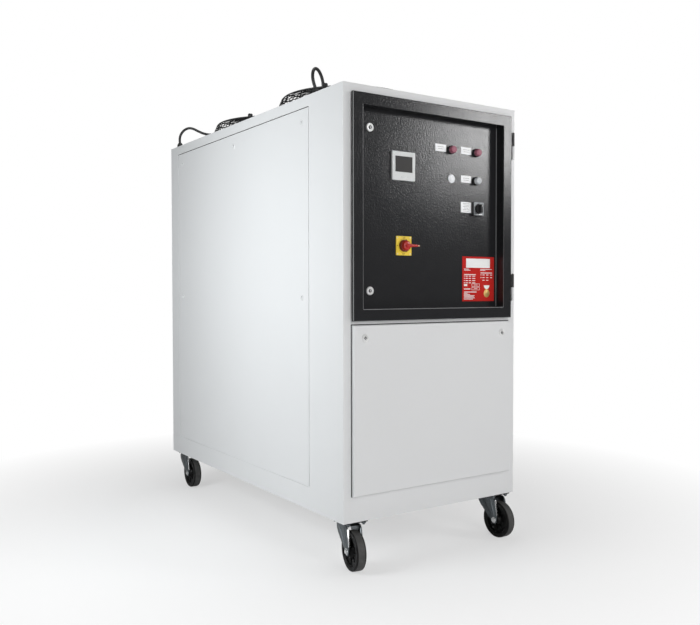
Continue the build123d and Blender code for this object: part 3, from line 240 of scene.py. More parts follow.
cabinet_coat = powder_coat("light_grey_powder_coat", CABINET_GREY, 0.36, 0.00005)
fastener_coat = powder_coat("light_grey_fastener_coat", lighter(CABINET_GREY, 0.96), 0.3, 0.00003)
# The anthracite coat gets pale flecks painted in as glints of its peel.
door_coat = powder_coat("anthracite_powder_coat", ANTHRACITE, 0.12, 0.00012, painted_glints=0.3, mottle=3.8)
sheet_zinc = plated("zinc_plated_sheet", (0.60, 0.61, 0.62), 0.26, 130.0)
# Zinc at a fraction of bare zinc's brightness: painted shade for the castors under the cabinet, also used
# on the hidden lock backings.
shade_darkened_zinc = plated("zinc_plated_pressing", (0.14, 0.155, 0.165), 0.22, 260.0)
bolt_zinc = plated("bright_bolt_zinc", (0.84, 0.85, 0.85), 0.14, 500.0)
wire_black = powder_coat("black_dipped_wire", (0.022, 0.022, 0.023), 0.28, 0.00006)
motor_black = powder_coat("black_motor_paint", (0.028, 0.028, 0.029), 0.36, 0.0001)
rotor_skin = moulded("fan_blade_plastic", (0.032, 0.032, 0.034), 0.42)
coil_fins = finned_coil()
lock_nickel = plated("satin_nickel", (0.90, 0.90, 0.89), 0.26, 500.0, metallic=0.35)
# Near-black pieces laid in screw slots and square sockets: painted shade of the recesses.
slot_shade = moulded("painted_slot_shade", (0.03, 0.03, 0.032), 0.4)
bezel_grey = moulded("display_bezel_plastic", (0.70, 0.715, 0.71), 0.34, drift=0.03)
switch_yellow = moulded("switch_yellow_plastic", (0.91, 0.65, 0.055), 0.3, drift=0.04)
handle_red = moulded("handle_red_plastic", (0.50, 0.032, 0.026), 0.2, drift=0.08)
collar_red = moulded("collar_red_plastic", (0.17, 0.008, 0.010), 0.3, drift=0.1)
tip_cream = moulded("pointer_cream_paint", (0.75, 0.62, 0.36), 0.4)
device_black = moulded("black_device_plastic", (0.018, 0.018, 0.019), 0.34)
ink_black = moulded("black_marking_ink", (0.02, 0.02, 0.02), 0.5)
ink_white = moulded("white_marking_ink", (0.90, 0.90, 0.89), 0.45)
plug_white = moulded("white_plug_plastic", (0.86, 0.88, 0.90), 0.3, drift=0.03)
label_white = moulded("engraved_label_plate", (0.96, 0.97, 0.98), 0.38, drift=0.02)
label_line = moulded("engraved_label_lines", (0.30, 0.30, 0.30), 0.5)
notice_red = moulded("red_notice_film", (0.53, 0.020, 0.016), 0.6, drift=0.05, ior=1.2)
notice_gold = turned_metal("gold_notice_disc", (0.80, 0.55, 0.20), 0.34)
device_grey = moulded("grey_device_plastic", (0.42, 0.43, 0.44), 0.42)
duct_grey = moulded("grey_duct_plastic", (0.50, 0.51, 0.52), 0.48)
selector_silver = plated("satin_selector_plate", (0.25, 0.26, 0.27), 0.34, 700.0)
port_brass = turned_metal("machined_brass", (0.74, 0.55, 0.28), 0.22)
lead_sheath = rubber("black_lead_sheath", (0.016, 0.016, 0.017), 0.42, 0.15)
# Black rubber darkened further as painted shade for the wheels under the cabinet.
tyre_rubber = rubber("black_tyre_rubber", (0.003, 0.003, 0.003), 0.34, 0.06, ior=1.3)
# The paler tread is partly wear and partly a painted sheen for the tread's highlights.
tread_wear_and_sheen = rubber("worn_tread_and_painted_sheen", (0.045, 0.044, 0.043), 0.5, 0.3)
# Near-black: the wheel rims' own black darkened further for the shade under the cabinet, and painted shade
# on the zinc castor plates and fork crowns.
shade_black = moulded("black_wheel_rim", (0.003, 0.003, 0.003), 0.3, ior=1.25)
# Grey paint for rods laid along the rim's folds as painted highlights.
painted_edge_highlight = powder_coat("painted_fold_highlight", (0.21, 0.213, 0.218), 0.3, 0.00002)
# Near-black strips laid in the panel seams as painted shade of the gaps.
seam_shade = rubber("painted_seam_shade", (0.02, 0.02, 0.02), 0.7, 0.1)


def display_glass():
    """The screen: dark glass with a dull grey film under it."""
    finish = Finish("display_glass", ior=1.35)
    film = finish.noise(18.0, 2.0)
    dull = finish.mix(film, (0.036, 0.034, 0.033), (0.042, 0.040, 0.039))
    finish.feed(base_color=dull, roughness=0.42 + film * 0.1)
    return finish.grain(finish.noise(900.0, 1.0), 0.000004)


def lamp_lens(name, colour, glow):
    """A lens of tinted plastic, clouded between its tint and a paler one."""
    finish = Finish(name, transmission_weight=0.3, ior=1.4)
    cloud = finish.noise(160.0, 3.0)
    finish.feed(base_color=finish.mix(cloud, colour, glow), roughness=0.3 + cloud * 0.1)
    return finish.grain(cloud, 0.00003)


screen_glass = display_glass()
lens_red = lamp_lens("red_lens", (0.40, 0.10, 0.16), (0.62, 0.26, 0.34))
lens_clear = lamp_lens("clear_lens", (0.72, 0.75, 0.78), (0.90, 0.92, 0.94))


# Shapes, in millimetres of the row frame

MM = 0.001
SHARP = radians(32)


def facing(origin, outward, along):
    """Local axes at origin: z runs outward, x along, y follows from them."""
    z = Vector(outward).normalized()
    x = Vector(along).normalized()
    y = z.cross(x)
    axes = Matrix((x, y, z)).transposed().to_4x4()
    return Matrix.Translation(Vector(origin)) @ axes


def turned_by(degrees):
    return Matrix.Rotation(radians(degrees), 4, "Z")


def upright(x, y, z=0.0, turn=0.0):
    """Local axes that stand upright at a point, turned about the vertical in degrees."""
    return Matrix.Translation((x, y, z)) @ turned_by(turn)


def shifted(at, x, y, z):
    return at @ Matrix.Translation((x, y, z))


def all_round(at, count, first=0.0):
    """The axes `at`, turned about their z in equal steps."""
    return [at @ turned_by(first + 360.0 * number / count) for number in range(count)]


def eased(shape, edges, edge, segments=2):
    """Rounds the given edges of a shape."""
    settings = {"affect": "EDGES", "profile": 0.5, "material": -1}
    bmesh.ops.bevel(shape, geom=edges, offset=edge, segments=segments, **settings)


def level_edges(shape):
    """The edges that lie level: the rims of a bar or of a raised outline."""
    return [e for e in shape.edges if abs(e.verts[0].co.z - e.verts[1].co.z) < 1e-6]


def spun(shape, sides, centre):
    """Spins all that a shape holds about the local z, and moves it to its centre."""
    outline = list(shape.verts) + list(shape.edges)
    about_z = {"cent": (0, 0, 0), "axis": (0, 0, 1), "angle": 2 * pi}
    bmesh.ops.spin(shape, geom=outline, steps=sides, use_merge=True, **about_z)
    bmesh.ops.translate(shape, vec=(*centre, 0.0), verts=shape.verts)


class Workpiece:
    """A piece in the making. Each shape is drawn in the local axes `at`, in millimetres."""

    def __init__(self, name, at=None):
        self.name = name
        self.at = at or Matrix()
        self.whole = bpy.data.meshes.new(name)
        self.finishes = []
        self.shapes = bmesh.new()

    def add(self, shape, finish, at=None, smooth=True):
        """Takes a shape over: doubles merged, normals outwards, sharp edges marked."""
        if finish not in self.finishes:
            self.finishes.append(finish)
        bmesh.ops.remove_doubles(shape, verts=shape.verts, dist=0.0005)
        bmesh.ops.recalc_face_normals(shape, faces=shape.faces)
        for edge in shape.edges:
            if len(edge.link_faces) == 2 and edge.calc_face_angle() > SHARP:
                edge.smooth = False
        for face in shape.faces:
            face.smooth = smooth
            face.material_index = self.finishes.index(finish)
        shape.transform(Matrix.Scale(MM, 4) @ (self.at if at is None else at))
        carrier = bpy.data.meshes.new("carrier")
        shape.to_mesh(carrier)
        shape.free()
        self.shapes.from_mesh(carrier)
        bpy.data.meshes.remove(carrier)

    def block(self, finish, size, low, high, centre=(0.0, 0.0), edge=0.0, turn=0.0, at=None, segments=2):
        """A block of size (x, y) from height low to high, with its edges rounded."""
        shape = bmesh.new()
        bmesh.ops.create_cube(shape, size=1.0)
        bmesh.ops.scale(shape, vec=(size[0], size[1], high - low), verts=shape.verts)
        if edge:
            eased(shape, shape.edges, edge, segments)
        bmesh.ops.rotate(shape, cent=(0, 0, 0), matrix=turned_by(turn).to_3x3(), verts=shape.verts)
        bmesh.ops.translate(shape, vec=(*centre, (low + high) / 2), verts=shape.verts)
        self.add(shape, finish, at)

    def bar(self, finish, radius, low, high, centre=(0.0, 0.0), sides=32, edge=0.0, tip=None, at=None):
        """A round or many-sided bar; tip is its radius at the high end."""
        shape = bmesh.new()
        radii = {"radius1": radius, "radius2": radius if tip is None else tip}
        bmesh.ops.create_cone(shape, cap_ends=True, segments=sides, depth=high - low, **radii)
        if edge:
            eased(shape, level_edges(shape), edge)
        bmesh.ops.translate(shape, vec=(*centre, (low + high) / 2), verts=shape.verts)
        self.add(shape, finish, at)

    def turned(self, finish, profile, sides=48, at=None):
        """A profile of (radius, height) points, spun about the local z."""
        shape = bmesh.new()
        points = [shape.verts.new((radius, 0.0, height)) for radius, height in profile]
        for pair in zip(points, points[1:]):
            shape.edges.new(pair)
        spun(shape, sides, (0.0, 0.0))
        self.add(shape, finish, at)

    def hoop(self, finish, radius, wire, height, sides=48, section=6, at=None, centre=(0.0, 0.0)):
        """A closed ring of round wire."""
        shape = bmesh.new()
        ring = bmesh.ops.create_circle(shape, segments=section, radius=wire)["verts"]
        bmesh.ops.rotate(shape, cent=(0, 0, 0), matrix=Matrix.Rotation(pi / 2, 3, "X"), verts=ring)
        bmesh.ops.translate(shape, vec=(radius, 0, height), verts=ring)
        spun(shape, sides, centre)
        self.add(shape, finish, at)

    def rod(self, finish, start, end, radius, sides=10):
        """A straight round rod between two points."""
        run = Vector(end) - Vector(start)
        turn = run.to_track_quat("Z", "Y").to_matrix().to_4x4()
        self.bar(finish, radius, 0.0, run.length, sides=sides, at=shifted(self.at, *start) @ turn)

    def ball(self, finish, centre, radius):
        """A small ball, such as the outside of a wire's bend."""
        shape = bmesh.new()
        bmesh.ops.create_icosphere(shape, subdivisions=2, radius=radius)
        bmesh.ops.translate(shape, vec=centre, verts=shape.verts)
        self.add(shape, finish)

    def plate(self, finish, outline, low, high, edge=0.0, at=None, segments=2):
        """A flat outline of (x, y) points, raised from low to high and rounded at its edges."""
        shape = bmesh.new()
        face = shape.faces.new([shape.verts.new((x, y, low)) for x, y in outline])
        raised = bmesh.ops.extrude_face_region(shape, geom=[face])["geom"]
        corners = [item for item in raised if isinstance(item, bmesh.types.BMVert)]
        bmesh.ops.translate(shape, vec=(0, 0, high - low), verts=corners)
        if edge:
            eased(shape, level_edges(shape), edge, segments)
        self.add(shape, finish, at)

    def words(self, finish, text, height, centre, low, high):
        """A short generic marking, such as a number, as a thin raised mesh."""
        curve = bpy.data.curves.new("marking", "FONT")
        curve.body = text
        curve.size = height
        curve.align_x = "CENTER"
        curve.align_y = "CENTER"
        curve.extrude = (high - low) / 2
        curve.resolution_u = 3
        holder = in_scene("marking", curve)
        bpy.context.view_layer.update()
        mesh = bpy.data.meshes.new_from_object(holder)
        shape = bmesh.new()
        shape.from_mesh(mesh)
        bmesh.ops.translate(shape, vec=(*centre, (low + high) / 2), verts=shape.verts)
        bpy.data.objects.remove(holder)
        bpy.data.curves.remove(curve)
        bpy.data.meshes.remove(mesh)
        self.add(shape, finish, smooth=False)

    def finished(self, body, slot, *replaced):
        """Makes the object, hangs it on what it rides on and hides the nodes that it stands for; the slot
        is not used.
        """
        self.shapes.to_mesh(self.whole)
        self.shapes.free()
        for finish in self.finishes:
            self.whole.materials.append(finish.material)
        piece = in_scene(self.name, self.whole)
        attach(piece, body)
        if replaced:
            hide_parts(*replaced)


def arc(centre, radius, start, end, steps):
    """Points on an arc, from one angle to the other in degrees."""
    turns = [radians(start + (end - start) * step / steps) for step in range(steps + 1)]
    return [(centre[0] + radius * cos(turn), centre[1] + radius * sin(turn)) for turn in turns]


def ring_of(count, radius, first=0.0):
    """Evenly spaced points on a circle."""
    turns = [radians(first + 360.0 * number / count) for number in range(count)]
    return [(radius * cos(turn), radius * sin(turn)) for turn in turns]


# Camera at the photograph's place

camera_data = bpy.data.cameras.new("front_left_view")
camera_data.lens = 41.11
camera_data.sensor_width = 36.0
camera = in_scene("front_left_view", camera_data)
camera.location = (-1.757, -2.831, 0.903)
camera.rotation_euler = (radians(90.0 - 1.55), radians(0.08), radians(-33.77))
bpy.context.scene.camera = camera


# Fan leads: gland, the route between gland and motor, and the motor's side

ROOF_Z = 1560.0
FAN_Y = {"front": -184.0, "rear": 420.0}
GLANDS = {"front": (-354.0, -528.0), "rear": (-354.0, 668.0)}
MOTOR_R = 58.0
LEAD_R = 5.5
LEAD_SEAT = 4.0
GLAND_HEIGHT = 22.0
LEAD_END = 79.0
GROMMET_AT = 267.0
GROMMET_HEIGHT = 62.0
LEAD_ROUTES = {
    "front": (
        *((-4.0, 7.0, 40.0), (-4.0, 10.0, 62.0), (8.0, 11.0, 82.0), (28.0, 9.0, 96.0)),
        *((50.0, 4.0, 96.0), (68.0, -1.0, 84.0), (83.0, -4.0, 66.0), (92.0, -3.0, 46.0)),
        *((112.0, -1.0, 32.0), (144.0, 0.0, 33.0), (182.0, 0.0, 48.0), (222.0, 0.0, 62.0)),
        *((266.0, 0.0, 72.0), (316.0, 0.0, 77.5), (380.0, 0.0, 79.0)),
    ),
    "rear": (
        *((-3.0, 0.0, 36.0), (2.0, 0.0, 60.0), (18.0, 0.0, 81.0), (40.0, 0.0, 91.0)),
        *((62.0, 0.0, 87.0), (86.0, 0.0, 74.0), (112.0, 0.0, 63.0), (142.0, 0.0, 59.0)),
        *((180.0, 0.0, 63.0), (222.0, 0.0, 73.0), (268.0, 0.0, 77.0), (322.0, 0.0, 79.0)),
    ),
}


def lead_line(place):
    """The gland's seat on the roof, the fan's middle there, and the way from one to the other."""
    gland = Vector((*GLANDS[place], ROOF_Z))
    middle = Vector((0.0, FAN_Y[place], ROOF_Z))
    return gland, middle, (middle - gland).normalized()


def fan_lead(place):
    """The lead's sheath on one smooth spline from its gland to its motor."""
    gland, middle, towards = lead_line(place)
    sideways = Vector((-towards.y, towards.x, 0.0))
    motor_side = ((middle - gland).length - MOTOR_R + LEAD_SEAT, 0.0, LEAD_END)
    stations = ((0.0, 0.0, GLAND_HEIGHT - LEAD_SEAT), *LEAD_ROUTES[place], motor_side)
    route = []
    for along, aside, up in stations:
        route.append((gland + towards * along + sideways * aside + Vector((0, 0, up))) * MM)
    curve = bpy.data.curves.new(f"fan_lead_sheath_{place}", "CURVE")
    curve.dimensions = "3D"
    curve.resolution_u = 10
    curve.bevel_depth = LEAD_R * MM
    curve.bevel_resolution = 6
    curve.use_fill_caps = True
    spline = curve.splines.new("NURBS")
    spline.points.add(len(route) - 1)
    for point, station in zip(spline.points, route):
        point.co = (*station, 1.0)
    spline.order_u = 3
    spline.use_endpoint_u = True
    curve.materials.append(lead_sheath.material)
    piece = in_scene(f"fan_lead_sheath_{place}", curve)
    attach(piece, "cabinet")
    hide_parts(f"fan_lead_{place}")


for place in FAN_Y:
    fan_lead(place)


# Finishes of the solids that stay as they are

for finish, names in (
    (cabinet_coat, "base_frame left_side_wall right_side_wall left_side_panel right_side_panel front_wall"),
    (cabinet_coat, "rear_wall roof lower_front_panel rear_panel intake_grille frame_hinge_leaves"),
    (sheet_zinc, "condenser_rails control_box mounting_plate"),
    # The zinc castor plates are painted black as shade under the cabinet.
    (shade_black, "castor_plates"),
    # The castor forks take the shade-darkened zinc.
    (shade_darkened_zinc, " ".join(name for name in NODES if name.startswith("castor_fork"))),
    (tyre_rubber, " ".join(name for name in NODES if name.startswith("castor_wheel"))),
    (coil_fins, "condenser"),
    (motor_black, "fan_rings fan_motors"),
    (wire_black, "fan_guards"),
    (rotor_skin, "fan_rotor_front fan_rotor_rear"),
    (door_coat, "door_rim door_panel"),
    (device_black, "door_hinge_leaves main_switch_body selector_base selector_knob cable_glands"),
    (bezel_grey, "display_housing"),
    (screen_glass, "display_screen"),
    (switch_yellow, "main_switch_plate"),
    (handle_red, "main_switch_handle"),
    (selector_silver, "selector_plate"),
    (lens_red, "red_lamp_lenses"),
    (lens_clear, "clear_lamp_lens"),
    (lock_nickel, "door_locks lamp_bezels panel_fasteners"),
    (plug_white, "blanking_plug"),
    (label_white, "label_plates"),
    (notice_red, "information_plate"),
    (device_grey, "switchgear"),
    (port_brass, "water_ports"),
    (lead_sheath, "fan_lead_front fan_lead_rear"),
):
    for name in names.split():
        node = NODES[name]
        if not node.material_slots:
            node.data.materials.append(finish.material)
        for material_slot in node.material_slots:
            material_slot.material = finish.material


# Roof fans

GUARD_R = 285.5
GUARD_TOP_R = 251.5
GUARD_FOOT_Z = 1565.5
GUARD_TOP_Z = 1648.0
SPOKE_R = 2.5
RING_WIRE = 1.8
SPOKES = 16
FIRST_SPOKE = 15.0
MOTOR_PLATE_R = 62.0
MOTOR_PLATE_Z = 1656.0
MOTOR_TOP_Z = 1651.0
HUB_TOP_Z = 1623.0
RING_PITCH = 11.0
CLIP_AT = 217.5
CLIP_R = 247.5
FLANGE_Z = 1563.0
FOOT_TOP_Z = 1565.0


def screw_head(piece, finish, at, radius=4.0, height=2.4):
    """A chamfered screw head with a hollow middle."""
    hollow = ((0.0, height * 0.45), (radius * 0.5, height * 0.45), (radius * 0.58, height))
    rim = ((radius * 0.86, height), (radius, height * 0.8), (radius, -0.2), (0.0, -0.2))
    piece.turned(finish, hollow + rim, sides=20, at=at)


def hexagon_nut(piece, finish, at, across, height, bolt):
    """A nut with chamfered corners, and the bolt's end in it."""
    corner = across / 2 / cos(pi / 6)
    piece.bar(finish, corner, 0.0, height * 0.86, sides=6, at=at)
    piece.bar(finish, corner, height * 0.86, height, sides=6, at=at, tip=across / 2 * 0.98)
    piece.bar(finish, bolt, height, height + bolt * 0.9, sides=20, edge=0.6, at=at)


def wire_guard(place, y):
    """Rings of thin wire welded inside sixteen bent spokes, with the motor's plate in the middle."""
    guard = Workpiece(f"wire_guard_{place}", upright(0.0, y))
    drop = SPOKE_R + RING_WIRE
    slope = Vector((GUARD_R - GUARD_TOP_R, GUARD_FOOT_Z - GUARD_TOP_Z))
    outward = Vector((-slope.y, slope.x)).normalized() * drop
    guard.hoop(wire_black, GUARD_R, SPOKE_R, GUARD_FOOT_Z, sides=96, section=8)
    guard.hoop(wire_black, GUARD_TOP_R + 1.5, SPOKE_R, GUARD_TOP_Z, sides=96, section=8)
    for number in range(8):
        share = (number + 0.55) / 8.4
        radius = GUARD_TOP_R + slope.x * share + outward.x
        height = GUARD_TOP_Z + slope.y * share + outward.y
        guard.hoop(wire_black, radius, RING_WIRE, height, sides=96)
    for number in range(16):
        radius = MOTOR_PLATE_R + RING_PITCH + number * RING_PITCH
        sides = 64 if radius < 160 else 96
        guard.hoop(wire_black, radius, RING_WIRE, GUARD_TOP_Z + drop * 0.35, sides=sides)
    for number in range(SPOKES):
        turn = radians(FIRST_SPOKE + 360.0 / SPOKES * number)
        line = [(MOTOR_PLATE_R - 8.0, GUARD_TOP_Z), (GUARD_TOP_R, GUARD_TOP_Z), (GUARD_R, GUARD_FOOT_Z)]
        bends = [(radius * cos(turn), radius * sin(turn), height) for radius, height in line]
        for start, end in zip(bends, bends[1:]):
            guard.rod(wire_black, start, end, SPOKE_R)
        guard.ball(wire_black, bends[1], SPOKE_R)
        guard.ball(wire_black, bends[2], SPOKE_R)
    guard.turned(
        wire_black,
        ((0.0, MOTOR_TOP_Z), (MOTOR_PLATE_R - 1.0, MOTOR_TOP_Z), (MOTOR_PLATE_R, 1652.0))
        + ((MOTOR_PLATE_R, 1655.0), (MOTOR_PLATE_R - 1.2, MOTOR_PLATE_Z), (22.0, MOTOR_PLATE_Z))
        + ((20.0, 1654.6), (0.0, 1654.6)),
        sides=72,
    )
    for across, along in ring_of(4, 42.0, 45.0):
        screw_head(guard, bolt_zinc, shifted(guard.at, across, along, MOTOR_PLATE_Z), 6.0, 1.6)
    clip = guard.at @ turned_by(CLIP_AT)
    clip_body = {"centre": (CLIP_R, 0.0), "edge": 4.5, "segments": 4}
    guard.block(device_black, (12.0, 20.0), GUARD_TOP_Z, GUARD_TOP_Z + 14.0, at=clip, **clip_body)
    guard.turned(
        device_black,
        ((5.5, -7.5), (7.6, -7.5), (7.6, 7.5), (5.5, 7.5), (5.5, -7.5)),
        sides=24,
        at=clip @ facing((CLIP_R, 0.0, 1654.5), (1, 0, 0), (0, 1, 0)),
    )
    for foot in all_round(guard.at, SPOKES // 2, FIRST_SPOKE + 180.0 / SPOKES):
        guard.block(wire_black, (16.0, 18.0), FLANGE_Z, FOOT_TOP_Z, centre=(281.0, 0.0), edge=0.5, at=foot)
        screw_head(guard, bolt_zinc, shifted(foot, 278.0, 0.0, FOOT_TOP_Z), 4.5, 3.0)
    guard.finished("cabinet", "black_metal", "fan_guards")


def fan_motor_pair():
    """External-rotor motors under the guards, with cooling ribs around each."""
    motors = Workpiece("finned_fan_motors")
    for y in FAN_Y.values():
        at = upright(0.0, y)
        motors.turned(
            motor_black,
            ((0.0, MOTOR_TOP_Z), (50.0, MOTOR_TOP_Z), (54.0, 1648.0), (54.0, 1632.0))
            + ((51.0, 1629.0), (8.08, 1629.0), (8.08, 1640.3), (0.0, 1640.3)),
            sides=64,
            at=at,
        )
        for rib in all_round(at, 36):
            fin = {"centre": (54.5, 0.0), "edge": 0.6, "segments": 1}
            motors.block(motor_black, (7.0, 2.2), 1631.0, 1649.0, at=rib, **fin)
    motors.finished("cabinet", "black_metal", "fan_motors")


def inlet_ring_pair():
    """The rings' rolled lips and the screws that hold their flanges to the roof."""
    trim = Workpiece("fan_ring_trim")
    for y in FAN_Y.values():
        at = upright(0.0, y)
        trim.hoop(motor_black, 255.5, 2.4, 1562.2, sides=96, section=10, at=at)
        trim.hoop(motor_black, 290.6, 1.5, 1561.5, sides=96, section=8, at=at)
        for across, along in ring_of(8, 270.0, FIRST_SPOKE + 11.25 + 22.5):
            screw_head(trim, bolt_zinc, shifted(at, across, along, FLANGE_Z), 5.0, 3.2)
    trim.finished("cabinet", "black_metal")


def rotor_hub(place, y):
    """The hub's stiffening ribs and rivets, on top of the moulded rotor."""
    hub = Workpiece(f"rotor_hub_detail_{place}", upright(0.0, y, HUB_TOP_Z))
    hub.turned(
        rotor_skin,
        ((9.5, -0.5), (66.0, -0.5), (66.0, 1.2), (62.0, 2.4))
        + ((24.0, 2.4), (20.0, 3.6), (9.5, 3.6), (9.5, -0.5)),
        sides=64,
    )
    for rib in all_round(hub.at, 10):
        hub.block(rotor_skin, (38.0, 3.0), 2.0, 3.6, centre=(42.0, 0.0), edge=0.5, at=rib, segments=1)
    for across, along in ring_of(5, 50.0, 18.0):
        screw_head(hub, bolt_zinc, shifted(hub.at, across, along, 2.4), 3.0, 1.8)
    hub.finished(f"fan_{place}", "rotor_plastic")


for place, y in FAN_Y.items():
    wire_guard(place, y)
    rotor_hub(place, y)
fan_motor_pair()
inlet_ring_pair()


# Cable glands of the leads and the mains entry

BODY_HALF_WIDTH = 375.0
BODY_HALF_DEPTH = 725.0
REAR_FITTINGS_Z = 285.0


def on_rear(x):
    """Local axes of a fitting low on the rear wall, z out of the wall."""
    return facing((x, BODY_HALF_DEPTH, REAR_FITTINGS_Z), (0, 1, 0), (-1, 0, 0))


glands = Workpiece("cable_gland_fittings")
for x, y in GLANDS.values():
    at = upright(x, y, ROOF_Z)
    glands.bar(device_black, 14.0, 0.0, 6.5, sides=6, edge=0.8, at=at)
    glands.turned(
        device_black,
        ((5.6, 5.0), (11.0, 5.0), (11.0, 7.5), (12.0, 8.0), (12.0, 14.0))
        + ((11.0, 15.0), (9.4, 19.5), (7.2, 22.0), (5.6, 22.0), (5.6, 5.0)),
        sides=40,
        at=at,
    )
    for grip in all_round(at, 12):
        glands.block(device_black, (1.6, 3.0), 8.5, 14.0, centre=(12.0, 0.0), edge=0.5, at=grip, segments=1)
    shank = ((5.6, -11.0), (10.75, -11.0), (10.75, 0.5), (5.6, 0.5), (5.6, -11.0))
    glands.turned(device_black, shank, at=at)
mains = on_rear(-180.0)
shank = ((9.0, -14.0), (12.25, -14.0), (12.25, 0.5), (9.0, 0.5), (9.0, -14.0))
glands.turned(device_black, shank, at=mains)
glands.turned(
    device_black,
    ((9.0, 0.0), (17.0, 0.0), (18.5, 0.8), (18.5, 5.0), (17.0, 5.8))
    + ((16.0, 6.2), (16.0, 10.5), (13.5, 13.4), (9.0, 14.0), (9.0, 0.0)),
    sides=6,
    at=mains,
)
glands.finished("cabinet", "black_plastic", "cable_glands")

for place in FAN_Y:
    _, middle, towards = lead_line(place)
    seat = middle - towards * GROMMET_AT + Vector((0, 0, GROMMET_HEIGHT))
    grommet = Workpiece(f"lead_grommet_{place}", facing(seat, towards, (0, 0, 1)))
    grommet.turned(
        lead_sheath,
        ((5.6, -5.0), (10.0, -5.0), (12.5, -3.5), (12.5, -1.5), (10.5, 0.0))
        + ((12.5, 1.5), (12.5, 3.5), (10.0, 5.0), (5.6, 5.0), (5.6, -5.0)),
        sides=32,
    )
    grommet.finished("cabinet", "lead_rubber")


# Castors

SWIVELS = {
    f"{row}_{side}": (sx * 318.0, sy * 672.0)
    for row, sy in (("front", -1), ("rear", 1))
    for side, sx in (("left", -1), ("right", 1))
}
CASTOR_TURNS = {"front_left": -10.0, "front_right": 0.0, "rear_left": 0.0, "rear_right": 170.0}
TRAIL = 38.0
WHEEL_R = 65.0
LEG_X = 22.0
LEG_THICK = 4.0
AXLE_R = 5.0
CROWN_LOW = 142.2
PLATE_LOW = 156.5
PLATE_HOLES = (30.0, 40.0)


def castor_fork(name, x, y):
    """A pressed fork: domed crown, two legs with folded front flanges, axle bolt and nut."""
    fork = Workpiece(f"pressed_fork_{name}", upright(x, y, 0.0, CASTOR_TURNS[name]))
    # The crown, legs and flanges take the shade-darkened zinc.
    fork.turned(
        shade_darkened_zinc,
        ((0.0, 147.2), (27.0, 147.2), (30.0, 146.0), (31.0, 143.6), (30.0, CROWN_LOW), (0.0, CROWN_LOW)),
    )
    # A black block painted as the shade under the fork's crown.
    fork.block(shade_black, (50.0, 66.0), CROWN_LOW, 146.6, centre=(0.0, 1.0), edge=1.6, segments=3)
    fork.hoop(shade_darkened_zinc, 29.5, 1.3, 143.2, sides=40, section=8)
    fork.bar(bolt_zinc, 6.0, 146.0, 153.2, sides=24)
    fork.bar(bolt_zinc, 11.0, 137.5, 142.4, sides=32, edge=1.4)
    outline = [(-34.0, 146.5), (-42.0, 139.0), (-54.0, 80.0)]
    outline += arc((-TRAIL, WHEEL_R), 15.0, 170.0, 330.0, 14)
    outline += [(-19.0, 66.0), (-8.0, 78.0), (10.0, 92.0), (30.0, 107.0), (42.0, 122.0)]
    outline += [(45.0, 136.0), (34.0, 146.5)]
    for sign in (-1, 1):
        start = LEG_X if sign > 0 else -LEG_X - LEG_THICK
        side = fork.at @ facing((start, 0.0, 0.0), (1, 0, 0), (0, 1, 0))
        fork.plate(shade_darkened_zinc, outline, 0.0, LEG_THICK, edge=0.9, at=side)
        outer = sign * (LEG_X + 3.6)
        for near, far in (((-20.0, 138.0), (-38.0, 84.0)), ((20.0, 134.0), (-22.0, 84.0))):
            fork.rod(shade_darkened_zinc, (outer, *near), (outer, *far), 2.2, sides=12)
        flange_x = sign * (LEG_X + 0.5)
        edge_run = Vector((0.0, -54.0 + 42.0, 80.0 - 139.0))
        front_edge = fork.at @ facing((flange_x, -48.0, 109.5), (0, -edge_run.z, edge_run.y), edge_run)
        # The left leg's front flange is bright zinc as a painted highlight; the right leg's stays in the
        # darkened zinc.
        front_finish = bolt_zinc if sign < 0 else shade_darkened_zinc
        fork.block(front_finish, (56.0, 7.0), -1.6, 0.8, edge=0.7, at=front_edge)
        back_edge = fork.at @ facing((flange_x, 3.0, 85.5), (0, 21.0, -26.0), (0, 26.0, 21.0))
        fork.block(shade_darkened_zinc, (40.0, 7.0), -1.6, 0.8, edge=0.7, at=back_edge)
        head = fork.at @ facing((sign * (LEG_X + LEG_THICK), -TRAIL, WHEEL_R), (sign, 0, 0), (0, 1, 0))
        fork.bar(bolt_zinc, 10.5, 0.0, 1.2, sides=32, edge=0.3, at=head)
        hexagon_nut(fork, bolt_zinc, shifted(head, 0, 0, 1.0), 14.0, 3.2 if sign > 0 else 4.0, 0.01)
    axle = fork.at @ facing((-LEG_X - LEG_THICK, -TRAIL, WHEEL_R), (1, 0, 0), (0, 1, 0))
    fork.bar(bolt_zinc, AXLE_R, 0.0, 2 * (LEG_X + LEG_THICK), sides=24, at=axle)
    fork.finished(f"castor_{name}", "zinc", f"castor_fork_{name}")


